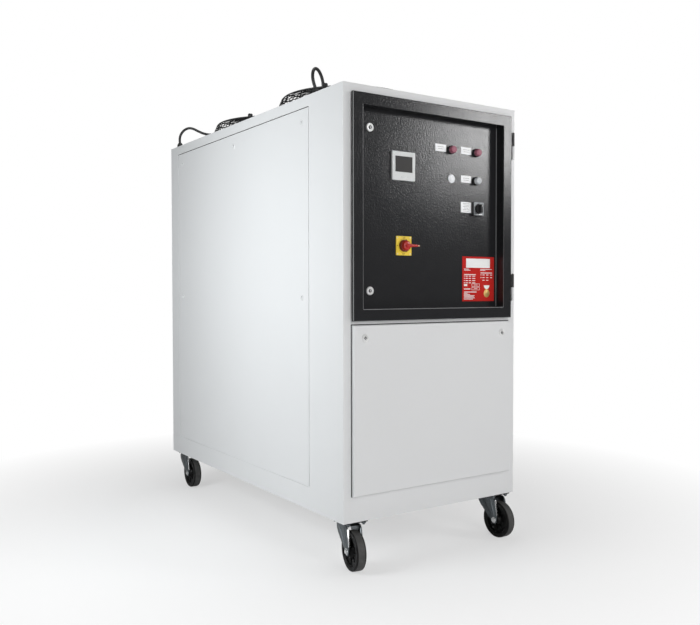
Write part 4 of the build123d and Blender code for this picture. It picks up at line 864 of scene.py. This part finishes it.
def castor_wheel(name, x, y):
    """A tyre with rounded shoulders and a paler tread, partly worn and partly a painted sheen, on a black
    rim, with a steel bearing sleeve; tyre and rim are darkened as painted shade.
    """
    axle = facing((0.0, -TRAIL, WHEEL_R), (1, 0, 0), (0, 1, 0))
    wheel = Workpiece(f"rubber_tyred_wheel_{name}", upright(x, y, 0.0, CASTOR_TURNS[name]) @ axle)
    bends = [radians(angle) for angle in range(0, 76, 15)]
    shoulder = [(WHEEL_R - 5.0 + 5.0 * sin(bend), 17.0 - 5.0 + 5.0 * cos(bend)) for bend in bends]
    tread = [(WHEEL_R - 0.8, 12.0), (WHEEL_R - 0.8, -12.0)]
    inner = [(50.0, 15.5), (51.5, 17.0), (54.0, 16.4), (56.0, 17.0)]
    # The tyre: black, darkened further as painted shade.
    wheel.turned(
        tyre_rubber,
        [(47.5, 12.0), *inner, *shoulder, *tread]
        + [(radius, -width) for radius, width in shoulder[::-1]]
        + [(radius, -width) for radius, width in inner[::-1]]
        + [(47.5, -12.0), (47.5, 12.0)],
        sides=72,
    )
    # The tread band: wear and a painted sheen.
    wheel.turned(
        tread_wear_and_sheen,
        ((WHEEL_R - 1.5, 12.0), (WHEEL_R - 0.3, 12.0), (WHEEL_R, 11.0), (WHEEL_R, -11.0))
        + ((WHEEL_R - 0.3, -12.0), (WHEEL_R - 1.5, -12.0), (WHEEL_R - 1.5, 12.0)),
        sides=72,
    )
    # The rim and its ribs: black, darkened further as painted shade under the cabinet.
    web = ((47.8, 14.2), (45.0, 14.2), (43.5, 10.5), (25.0, 9.0), (21.0, 12.0), (18.0, 19.0))
    web += ((17.0, 20.5), (10.0, 20.5))
    wheel.turned(
        shade_black,
        [*web, *((radius, -width) for radius, width in web[::-1]), web[0]],
        sides=56,
    )
    for low, high in ((-12.6, -8.0), (8.0, 12.6)):
        for rib in all_round(wheel.at, 8):
            wheel.block(shade_black, (24.0, 3.4), low, high, centre=(33.0, 0.0), edge=0.8, at=rib)
    wheel.turned(
        bolt_zinc,
        ((5.08, 21.3), (9.4, 21.3), (10.2, 20.4), (10.2, -20.4), (9.4, -21.3), (5.08, -21.3), (5.08, 21.3)),
        sides=40,
    )
    wheel.finished(f"wheel_{name}", "tyre", f"castor_wheel_{name}")


def castor_plate_trim():
    """The ball race under each plate, and the bolts with their nuts at its corners."""
    trim = Workpiece("castor_races_and_bolts")
    for name, (x, y) in SWIVELS.items():
        at = upright(x, y)
        # The races and corner nuts take the shade-darkened zinc.
        trim.turned(
            shade_darkened_zinc,
            ((6.5, 147.6), (27.6, 147.6), (30.6, 149.6), (31.6, 152.5))
            + ((30.2, 155.2), (33.5, 156.6), (6.5, 156.6), (6.5, 147.6)),
            sides=56,
            at=at,
        )
        for sx in (-PLATE_HOLES[0], PLATE_HOLES[0]):
            for sy in (-PLATE_HOLES[1], PLATE_HOLES[1]):
                under = at @ facing((sx, sy, PLATE_LOW), (0, 0, -1), (1, 0, 0))
                trim.bar(shade_darkened_zinc, 7.8, 0.0, 1.4, sides=28, edge=0.3, at=under)
                hexagon_nut(trim, shade_darkened_zinc, shifted(under, 0, 0, 1.4), 13.0, 6.4, 4.0)
                trim.bar(bolt_zinc, 7.4, 0.0, 5.0, sides=6, edge=0.5, at=shifted(at, sx, sy, 163.0))
    trim.finished("cabinet", "zinc")


for name, (x, y) in SWIVELS.items():
    castor_fork(name, x, y)
    castor_wheel(name, x, y)
castor_plate_trim()


# Door instruments

PANEL_Y = -701.0
RED_LAMPS = ((90.0, 1392.7), (206.5, 1392.7))
CLEAR_LAMP = (206.5, 1293.0)
PLUG = (91.0, 1293.0)
SELECTOR = (211.0, 1194.0)
MAIN_SWITCH = (-117.5, 1053.5)
DISPLAY = (-121.0, 1318.0)
DOOR_LOCKS = ((-255.5, 1432.7), (-255.5, 902.8))
LABELS = ((44.0, 1396.2, 25.0), (160.5, 1396.2, 25.0), (160.5, 1296.5, 25.0), (160.5, 1197.5, 37.0))
NOTICE = (220.3, 945.0)


def on_door(place):
    """Local axes of an instrument: x to the right, y up, z out of the panel."""
    return facing((place[0], PANEL_Y, place[1]), (0, -1, 0), (1, 0, 0))


def pilot_lamp(piece_name, place, lens, slot, node):
    """A lamp's lens: a flat face with fine rings, and ribs round its skirt."""
    lamp = Workpiece(piece_name, on_door(place))
    lamp.turned(
        lens,
        ((0.0, 20.7), (9.4, 20.7), (10.9, 20.2), (11.7, 19.0))
        + ((12.3, 16.6), (12.5, 14.0), (12.5, 2.4), (0.0, 2.4)),
        sides=40,
    )
    for radius in (3.0, 5.6, 8.2):
        lamp.hoop(lens, radius, 0.32, 20.75, sides=40)
    for rib in all_round(lamp.at, 24):
        lamp.block(lens, (0.7, 1.3), 7.5, 15.5, centre=(12.45, 0.0), edge=0.25, at=rib, segments=1)
    lamp.finished("door", slot, node)


bezels = Workpiece("pilot_lamp_collars")
for place in (*RED_LAMPS, CLEAR_LAMP):
    at = on_door(place)
    bezels.turned(
        device_black,
        ((0.0, 2.2), (12.7, 2.2), (12.7, 7.2), (13.3, 7.8))
        + ((14.3, 7.2), (14.75, 5.6), (14.75, 0.0), (0.0, 0.0)),
        at=at,
    )
    for notch in all_round(at, 24):
        size = (0.8, 1.6)
        bezels.block(device_black, size, 1.0, 5.6, centre=(14.7, 0.0), edge=0.3, at=notch, segments=1)
    bezels.bar(device_black, 11.0, -38.0, 0.2, sides=32, edge=0.6, at=at)
    bezels.bar(device_grey, 14.6, -8.0, -2.0, sides=12, edge=0.5, at=at)
    bezels.block(device_grey, (20.0, 26.0), -52.0, -36.0, edge=1.0, at=at)
bezels.finished("door", "black_plastic", "lamp_bezels")
for number, place in enumerate(RED_LAMPS):
    pilot_lamp(f"red_lens_{number + 1}", place, lens_red, "lens_red", "red_lamp_lenses")
pilot_lamp("clear_lens", CLEAR_LAMP, lens_clear, "lens_clear", "clear_lamp_lens")

handle = Workpiece("rotary_handle", on_door(MAIN_SWITCH))
handle.turned(
    collar_red,
    ((0.0, 3.3), (20.4, 3.3), (20.4, 5.6), (19.2, 12.4), (18.0, 13.3), (0.0, 13.3)),
    sides=64,
)
handle.turned(
    handle_red,
    ((0.0, 13.2), (16.4, 13.2), (16.6, 15.0), (15.8, 21.0), (14.0, 23.6), (10.0, 25.0), (0.0, 25.0)),
    sides=64,
)
for rib in all_round(handle.at, 12, 15.0):
    handle.block(collar_red, (2.2, 4.6), 4.0, 12.0, centre=(19.6, 0.0), edge=0.8, at=rib)
grip = arc((0.0, 0.0), 7.2, 110.0, 250.0, 10) + [(20.0, -4.6)]
grip += arc((45.5, 0.0), 2.6, -90.0, 90.0, 6) + [(20.0, 4.6)]
handle.plate(handle_red, grip, 15.5, 28.4, edge=1.4, segments=3)
handle.block(handle_red, (34.0, 4.0), 26.0, 30.0, centre=(6.0, 0.0), edge=1.6, segments=3)
handle.plate(tip_cream, [(41.5, -1.7), (47.4, -0.7), (47.4, 0.7), (41.5, 1.7)], 28.3, 28.9)
handle.bar(device_black, 6.0, -26.0, 3.6, sides=24)
handle.finished("main_switch", "red_plastic", "main_switch_handle")

switch_face = Workpiece("main_switch_face", on_door(MAIN_SWITCH))
for x in (-27.0, 27.0):
    for y in (-27.0, 27.0):
        at = shifted(switch_face.at, x, y, 3.0)
        switch_face.turned(lock_nickel, ((0.0, 0.7), (1.6, 0.7), (2.3, 0.0), (0.0, 0.0)), sides=20, at=at)
        # A dark film painted as the shade in the screw's slot.
        switch_face.block(slot_shade, (2.9, 0.55), 0.66, 0.78, turn=35.0, at=at)
switch_face.words(ink_black, "ON", 7.0, (0.0, 27.4), 2.9, 3.12)
switch_face.words(ink_black, "OFF", 7.0, (-1.0, -27.6), 2.9, 3.12)
switch_face.block(ink_black, (4.6, 1.3), 2.9, 3.12, centre=(-27.0, 0.0))
switch_face.block(ink_black, (1.3, 3.6), 2.9, 3.12, centre=(0.0, 23.2))
switch_face.hoop(ink_black, 23.6, 0.3, 2.95, sides=64)
switch_face.finished("door", "yellow_plastic")

knob = Workpiece("selector_grip", on_door(SELECTOR))
knob.turned(
    device_black,
    ((0.0, 11.3), (15.6, 11.3), (16.0, 11.8), (16.0, 15.6), (15.0, 17.3), (0.0, 17.3)),
)
wing = arc((0.0, 10.5), 4.3, 0.0, 180.0, 8) + arc((0.0, -10.5), 4.3, 180.0, 360.0, 8)
knob.plate(device_black, wing, 17.0, 31.0, edge=1.2, segments=3)
knob.block(ink_white, (1.2, 7.0), 30.9, 31.15, centre=(0.0, 9.6))
knob.block(ink_white, (1.2, 3.2), 17.2, 17.5, centre=(0.0, 14.4))
knob.bar(device_black, 5.0, -21.0, 11.5, sides=24)
knob.finished("selector", "black_plastic", "selector_knob")

selector_face = Workpiece("selector_markings", on_door(SELECTOR))
for text, x, y in (("1", -17.5, 17.0), ("0", 0.0, 19.8), ("2", 17.5, 17.0)):
    selector_face.words(ink_black, text, 6.0, (x, y), 12.9, 13.1)
selector_face.block(ink_white, (16.0, 2.6), 12.9, 13.1, centre=(8.0, -20.0))
selector_face.hoop(ink_black, 18.6, 0.25, 12.95, sides=48)
selector_face.finished("door", "silver_plate")

bezel_face = Workpiece("display_bezel_detail", on_door(DISPLAY))
frame_outer = ((-38.5, -22.75), (38.5, -22.75), (38.5, 34.75), (-38.5, 34.75))
for start, end in zip(frame_outer, frame_outer[1:] + frame_outer[:1]):
    bezel_face.rod(bezel_grey, (*start, 7.7), (*end, 7.7), 0.9)
bezel_face.block(bezel_grey, (26.0, 3.0), 7.8, 8.5, centre=(0.0, -36.5), edge=0.6)
bezel_face.block(device_black, (88.0, 88.0), -40.2, -2.2, edge=1.5)
bezel_face.finished("door", "bezel_plastic")

locks = Workpiece("square_key_locks")
for place in DOOR_LOCKS:
    at = on_door(place)
    locks.turned(
        lock_nickel,
        ((6.6, 1.0), (6.6, 3.6), (7.4, 4.2), (12.2, 4.4), (13.6, 3.4))
        + ((14.0, 1.6), (14.0, 0.0), (6.6, 0.0), (6.6, 1.0)),
        sides=56,
        at=at,
    )
    core = ((0.0, 0.6), (6.4, 0.6), (6.8, 1.4), (6.8, -1.0), (0.0, -1.0))
    locks.turned(lock_nickel, core, sides=40, at=at)
    # A dark square painted as the shade in the lock's square socket.
    locks.block(slot_shade, (8.4, 8.4), -1.0, 3.7, turn=45.0, edge=0.4, at=at)
    locks.bar(lock_nickel, 1.7, 3.6, 4.2, sides=16, at=at)
    # The backing and cam take the shade-darkened zinc.
    locks.bar(shade_darkened_zinc, 11.0, -22.0, 0.2, sides=32, at=at)
    locks.bar(bolt_zinc, 15.5, -8.0, -2.0, sides=6, edge=0.6, at=at)
    cam = arc((0.0, 0.0), 8.0, 0.0, 180.0, 10) + arc((0.0, -26.0), 8.0, 180.0, 360.0, 10)
    locks.plate(shade_darkened_zinc, cam, -25.0, -22.0, edge=0.6, at=at)
    screw_head(locks, bolt_zinc, at @ facing((0.0, 0.0, -25.0), (0, 0, -1), (1, 0, 0)), 5.0, 3.6)
locks.finished("door", "bright_metal", "door_locks")

plug = Workpiece("blanking_cap", on_door(PLUG))
plug.turned(
    plug_white,
    ((0.0, 5.0), (13.0, 4.8), (14.8, 4.0), (15.5, 2.4), (15.5, 0.0), (0.0, 0.0)),
)
plug.bar(plug_white, 11.0, -9.0, 0.2, sides=32)
plug.bar(device_grey, 14.5, -8.0, -2.0, sides=12, edge=0.6)
plug.finished("door", "white_plastic", "blanking_plug")

LINE_LENGTHS = (30.0, 24.0, 27.0, 20.0, 28.0, 25.0)
labels = Workpiece("engraved_label_lines")
for x, z, height in LABELS:
    rows, pitch = (2, 7.0) if height < 30.0 else (6, 5.4)
    for number, length in enumerate(LINE_LENGTHS[:rows]):
        level = (number - (rows - 1) / 2) * pitch
        labels.block(label_line, (length, 1.5), 0.95, 1.06, centre=(0.0, -level), at=on_door((x, z)))
labels.finished("door", "label")


def notice_print():
    """The plate's printed fields: a blank header, headings, table rows, two boxes and a plain disc."""
    notice = Workpiece("notice_fields", on_door(NOTICE))
    width, height = 152.0, 159.0

    def field(left, top, right, bottom):
        centre = ((left + right) / 2 * width - width / 2, height / 2 - (top + bottom) / 2 * height)
        notice.block(ink_white, ((right - left) * width, (bottom - top) * height), 0.95, 1.1, centre=centre)

    field(0.116, 0.045, 0.868, 0.250)
    for left, rights in ((0.05, (0.20, 0.25)), (0.56, (0.93, 0.72))):
        for top, right in zip((0.275, 0.30), rights):
            field(left, top, right, top + 0.012)
    for left, top, right in ((0.06, 0.395, 0.42), (0.57, 0.355, 0.94), (0.06, 0.785, 0.44)):
        field(left, top, right, top + 0.016)
    for row in range(4):
        top = 0.43 + row * 0.05
        for left, right in ((0.05, 0.075), (0.10, 0.17), (0.20, 0.27), (0.31, 0.40)):
            field(left, top, right, top + 0.015)
    for row in range(3):
        top = 0.40 + row * 0.06
        for left, right in ((0.57, 0.60), (0.63, 0.70), (0.75, 0.82), (0.88, 0.94)):
            if row < 2 or 0.62 < left < 0.80:
                field(left, top, right, top + 0.015)
    field(0.05, 0.615, 0.15, 0.66)
    field(0.05, 0.715, 0.25, 0.735)
    for top in (0.605, 0.685):
        field(0.29, top, 0.54, top + 0.007)
        field(0.29, top + 0.058, 0.54, top + 0.065)
        field(0.29, top, 0.298, top + 0.065)
        field(0.532, top, 0.54, top + 0.065)
        field(0.36, top + 0.026, 0.47, top + 0.036)
    for row, right in enumerate((0.16, 0.24, 0.38, 0.36, 0.39, 0.33)):
        field(0.05, 0.815 + row * 0.026, right, 0.827 + row * 0.026)
    middle = (0.765 * width - width / 2, height / 2 - 0.825 * height)
    bowl = [(middle[0] + x, middle[1] + y) for x, y in arc((0.0, 29.0), 13.5, 180.0, 360.0, 14)]
    notice.plate(ink_white, bowl, 0.95, 1.12)
    notice.bar(notice_gold, 14.2, 0.95, 1.25, centre=middle, sides=56, edge=0.1)
    notice.hoop(notice_gold, 11.4, 0.45, 1.25, centre=middle, sides=56)
    notice.finished("door", "red_label")


notice_print()

hinges = Workpiece("hinge_pins_and_screws")
for level in (1427.0, 915.0):
    pin_end = ((0.0, level + 48.3), (2.6, level + 48.3), (2.6, level + 49.6), (0.0, level + 50.2))
    hinges.turned(device_black, pin_end, sides=20, at=upright(360.0, -733.0))
    for z in (level + 14.0, level + 34.0):
        screw_head(hinges, device_black, facing((349.5, -734.2, z), (0, -1, 0), (1, 0, 0)), 2.6, 1.2)
hinges.finished("door", "black_metal")


# Painted highlights along the rim's folded edges, and painted shade in the seams round the covers

RIM_Y = -740.0
rim_edge_highlights = Workpiece("rim_painted_edge_highlights")
# Thin grey rods along the rim's edges: painted highlights of its folds.
for start, end, radius in (
    ((-345.0, RIM_Y + 0.6, 808.0), (-345.0, RIM_Y + 0.6, 1530.0), 1.3),
    ((-308.0, RIM_Y + 0.5, 844.0), (-308.0, RIM_Y + 0.5, 1494.0), 0.7),
    ((-307.0, RIM_Y + 0.5, 843.4), (307.0, RIM_Y + 0.5, 843.4), 1.3),
    ((308.0, RIM_Y + 0.5, 844.0), (308.0, RIM_Y + 0.5, 1494.0), 0.5),
    ((306.8, PANEL_Y - 0.6, 846.0), (306.8, PANEL_Y - 0.6, 1492.0), 1.2),
    ((-344.0, RIM_Y + 0.6, 806.6), (344.0, RIM_Y + 0.6, 806.6), 0.9),
):
    rim_edge_highlights.rod(painted_edge_highlight, start, end, radius)
rim_edge_highlights.finished("door", "dark_paint")

# Black strips in the seams round the lower cover and along the side panels' top: painted shade of the gaps.
seam_shades = Workpiece("painted_seam_shade_lines")
COVER_FACE = facing((0.0, -BODY_HALF_DEPTH, 0.0), (0, -1, 0), (1, 0, 0))
seam_shades.block(seam_shade, (691.0, 2.8), 0.0, 1.0, centre=(0.0, 794.9), at=COVER_FACE)
seam_shades.block(seam_shade, (691.0, 1.2), 0.0, 1.0, centre=(0.0, 244.2), at=COVER_FACE)
for sign in (-1, 1):
    seam_shades.block(seam_shade, (2.2, 551.0), 0.0, 1.0, centre=(sign * 344.8, 519.5), at=COVER_FACE)
    side = facing((sign * 373.6, 0.0, 0.0), (sign, 0, 0), (0, sign, 0))
    seam_shades.block(seam_shade, (1153.0, 2.6), -0.1, 1.0, centre=(sign * 61.5, 1520.5), at=side)
seam_shades.finished("cabinet", "black_plastic")


# Fasteners of the panels and covers

SIDE_FASTENERS = ((-468.0, 1474.0), (61.5, 1474.0), (591.0, 1474.0), (-468.0, 879.5), (591.0, 879.5))
quarter_turns = Workpiece("side_quarter_turns")
for sign in (-1, 1):
    for y, z in SIDE_FASTENERS:
        at = facing((sign * BODY_HALF_WIDTH, y, z), (sign, 0, 0), (0, sign, 0))
        head = ((0.0, 0.5), (5.4, 0.5), (6.4, 1.3), (8.6, 1.5), (9.7, 1.0), (10.0, 0.0), (0.0, 0.0))
        quarter_turns.turned(fastener_coat, head, sides=40, at=at)
        # A dark film painted as the shade in the fastener's slot.
        quarter_turns.block(slot_shade, (2.6, 9.0), 0.45, 0.62, centre=(0.0, 0.6), at=at)
        quarter_turns.block(fastener_coat, (1.6, 5.4), 0.5, 1.2, centre=(0.0, -1.2), edge=0.3, at=at)
quarter_turns.finished("cabinet", "cabinet_paint", "panel_fasteners")

cover_locks = Workpiece("cover_square_locks")
for outward, z in ((-1, 752.0), (1, 1491.0)):
    for x in (-300.0, 300.0):
        at = facing((x, outward * 740.0, z), (0, outward, 0), (-outward, 0, 0))
        cover_locks.turned(
            lock_nickel,
            ((8.4, 0.6), (8.4, 2.8), (9.4, 3.2), (11.6, 3.0), (12.7, 2.0))
            + ((13.0, 0.8), (13.0, 0.0), (8.4, 0.0), (8.4, 0.6)),
            at=at,
        )
        core = ((0.0, 0.5), (8.2, 0.5), (8.6, 1.2), (8.6, 0.0), (0.0, 0.0))
        cover_locks.turned(lock_nickel, core, sides=36, at=at)
        # A dark square painted as the shade in the lock's square socket.
        cover_locks.block(slot_shade, (7.8, 7.8), 0.4, 1.9, turn=45.0, edge=0.4, at=at)
        cover_locks.bar(lock_nickel, 1.6, 1.8, 2.4, sides=16, at=at)
cover_locks.finished("cabinet", "bright_metal", "panel_fasteners")


# Water ports

ports = Workpiece("threaded_water_ports")
for x in (110.0, 260.0):
    at = on_rear(x)
    thread = []
    for number in range(13):
        depth = 10.2 - number * 2.31
        thread += [(16.4, depth), (15.2, depth - 1.15)]
    ports.turned(
        port_brass,
        [(16.4, 12.0), *thread, (15.2, -18.5), (15.2, -20.0), (18.75, -20.0), (18.75, 0.2), (16.9, 12.0)]
        + [(16.4, 12.0)],
        sides=56,
        at=at,
    )
    ports.turned(
        port_brass,
        ((16.6, 0.0), (26.5, 0.0), (26.5, 10.6), (24.6, 12.0), (16.6, 12.0), (16.6, 0.0)),
        sides=6,
        at=at,
    )
ports.finished("cabinet", "brass_fitting", "water_ports")


# Control compartment: ducts with slotted sides, rail-mounted devices and their wiring terminals

PLATE_FRONT_Y = -536.5
DEVICE_WIDTHS = (54.0, 54.0, 72.0, 36.0, 90.0, 45.0)
DEVICE_GAP = 4.0
gear = Workpiece("wired_switchgear", facing((0.0, PLATE_FRONT_Y, 1169.0), (0, -1, 0), (1, 0, 0)))
for level in (264.0, 0.0, -264.0):
    gear.block(duct_grey, (493.0, 40.0), 41.0, 45.0, centre=(0.0, level), edge=0.8)
    gear.block(duct_grey, (493.0, 36.0), 0.0, 41.5, centre=(0.0, level))
    for sign in (-1, 1):
        for number in range(40):
            slot_at = (-240.0 + number * 12.3, level + sign * 18.6)
            gear.block(duct_grey, (7.6, 2.4), 1.0, 41.0, centre=slot_at)
for row, level in enumerate((132.0, -132.0)):
    gear.block(sheet_zinc, (486.0, 35.0), 0.0, 7.5, centre=(0.0, level), edge=0.6)
    left = -(sum(DEVICE_WIDTHS) + DEVICE_GAP * (len(DEVICE_WIDTHS) - 1)) / 2
    for number, width in enumerate(DEVICE_WIDTHS):
        middle = left + width / 2
        case = device_grey if (number + row) % 3 else device_black
        gear.block(case, (width - 0.6, 85.0), 2.0, 44.0, centre=(middle, level), edge=1.2)
        gear.block(case, (width - 0.6, 45.0), 43.0, 60.0, centre=(middle, level), edge=1.6)
        poles = max(1, round(width / 18.0))
        for pole in range(poles):
            x = left + (pole + 0.5) * width / poles
            for end in (-1, 1):
                screw = shifted(gear.at, x, level + end * 33.0, 44.0)
                gear.turned(bolt_zinc, ((0.0, 0.6), (2.8, 0.6), (3.3, 0.0), (0.0, 0.0)), sides=16, at=screw)
                # A dark film painted as the shade in the terminal screw's slot.
                gear.block(slot_shade, (4.6, 0.7), 0.55, 0.72, turn=20.0 + 40.0 * pole, at=screw)
            if number % 2 == 0:
                gear.block(device_black, (7.0, 12.0), 59.0, 63.5, centre=(x, level + 3.0), edge=1.4)
        gear.block(label_white, (width * 0.6, 5.0), 59.9, 60.3, centre=(middle, level - 16.0))
        left += width + DEVICE_GAP
gear.finished("cabinet", "device_plastic", "switchgear")


# Floor, light and background

bpy.context.scene.view_settings.view_transform = "Standard"


def seen_directly(finish):
    """1 for camera and glass rays, 0 for the rays that light the part."""
    path = finish.node("ShaderNodeLightPath").socket.node
    shown = Channel(finish, path.outputs["Is Camera Ray"])
    through = Channel(finish, path.outputs["Is Transmission Ray"])
    return finish.node("ShaderNodeMath", {"operation": "MAXIMUM"}, {0: shown, 1: through})


def pale_floor():
    """The floor: pale, and plain white further out, where it meets the background."""
    finish = Finish("pale_floor")
    x, y, _ = finish.axes()
    away = finish.node("ShaderNodeMath", {"operation": "POWER"}, {0: x * x + y * y, 1: 0.5})
    far = finish.ramp(away / 5.0, (0.17, 0.0), (0.40, 1.0))
    finish.feed(base_color=finish.mix(far, (0.90, 0.90, 0.90), (0.97, 0.97, 0.97)), roughness=0.6)
    white = finish.node("ShaderNodeEmission", values={"Strength": 1.0}, out="Emission")
    share = (far * 0.5 + 0.5) * seen_directly(finish)
    surface = Channel(finish, finish.shader.outputs["BSDF"])
    mixed = finish.node("ShaderNodeMixShader", values={0: share, 1: surface, 2: white}, out="Shader")
    finish.tree.links.new(mixed.socket, finish.tree.nodes["Material Output"].inputs["Surface"])
    return finish


floor_shape = bmesh.new()
bmesh.ops.create_circle(floor_shape, cap_ends=True, segments=96, radius=30.0)
floor_mesh = bpy.data.meshes.new("floor")
floor_shape.to_mesh(floor_mesh)
floor_shape.free()
floor_mesh.materials.append(pale_floor().material)
in_scene("floor", floor_mesh)

world = bpy.data.worlds.new("studio")
bpy.context.scene.world = world
world.use_nodes = True
backdrop = world.node_tree.nodes["Background"]
backdrop.inputs["Color"].default_value = (1.0, 1.0, 1.0, 1.0)
rays = world.node_tree.nodes.new("ShaderNodeLightPath")
seen = world.node_tree.nodes.new("ShaderNodeMath")
strength = world.node_tree.nodes.new("ShaderNodeMapRange")
seen.operation = "MAXIMUM"
AMBIENT = 0.17
strength.inputs["To Min"].default_value = AMBIENT
strength.inputs["To Max"].default_value = 1.0
for output, socket in (
    (rays.outputs["Is Camera Ray"], seen.inputs[0]),
    (rays.outputs["Is Transmission Ray"], seen.inputs[1]),
    (seen.outputs[0], strength.inputs["Value"]),
    (strength.outputs["Result"], backdrop.inputs["Strength"]),
):
    world.node_tree.links.new(output, socket)


def softbox(name, place, aim, size, watts, tint=(1.0, 1.0, 1.0)):
    """A large soft lamp at place, turned towards aim, in metres."""
    lamp = bpy.data.lights.new(name, "AREA")
    lamp.shape = "RECTANGLE"
    lamp.size, lamp.size_y = size
    lamp.energy = watts
    lamp.color = tint
    holder = in_scene(name, lamp)
    holder.location = place
    holder.rotation_euler = (Vector(aim) - Vector(place)).to_track_quat("-Z", "Y").to_euler()


softbox("left_softbox", (-1.75, -0.25, 1.12), (-0.375, -0.25, 1.12), (0.8, 0.8), 20.0, (0.95, 0.985, 1.0))
softbox("right_softbox", (2.4, -2.9, 2.05), (0.2, -0.74, 1.1), (0.7, 0.7), 23.0)
softbox("front_softbox", (-0.6, -4.2, 1.5), (0.0, -0.74, 0.7), (2.0, 2.0), 57.0)
softbox("roof_softbox", (0.3, 0.4, 4.2), (0.0, 0.0, 1.0), (2.0, 2.0), 24.0)
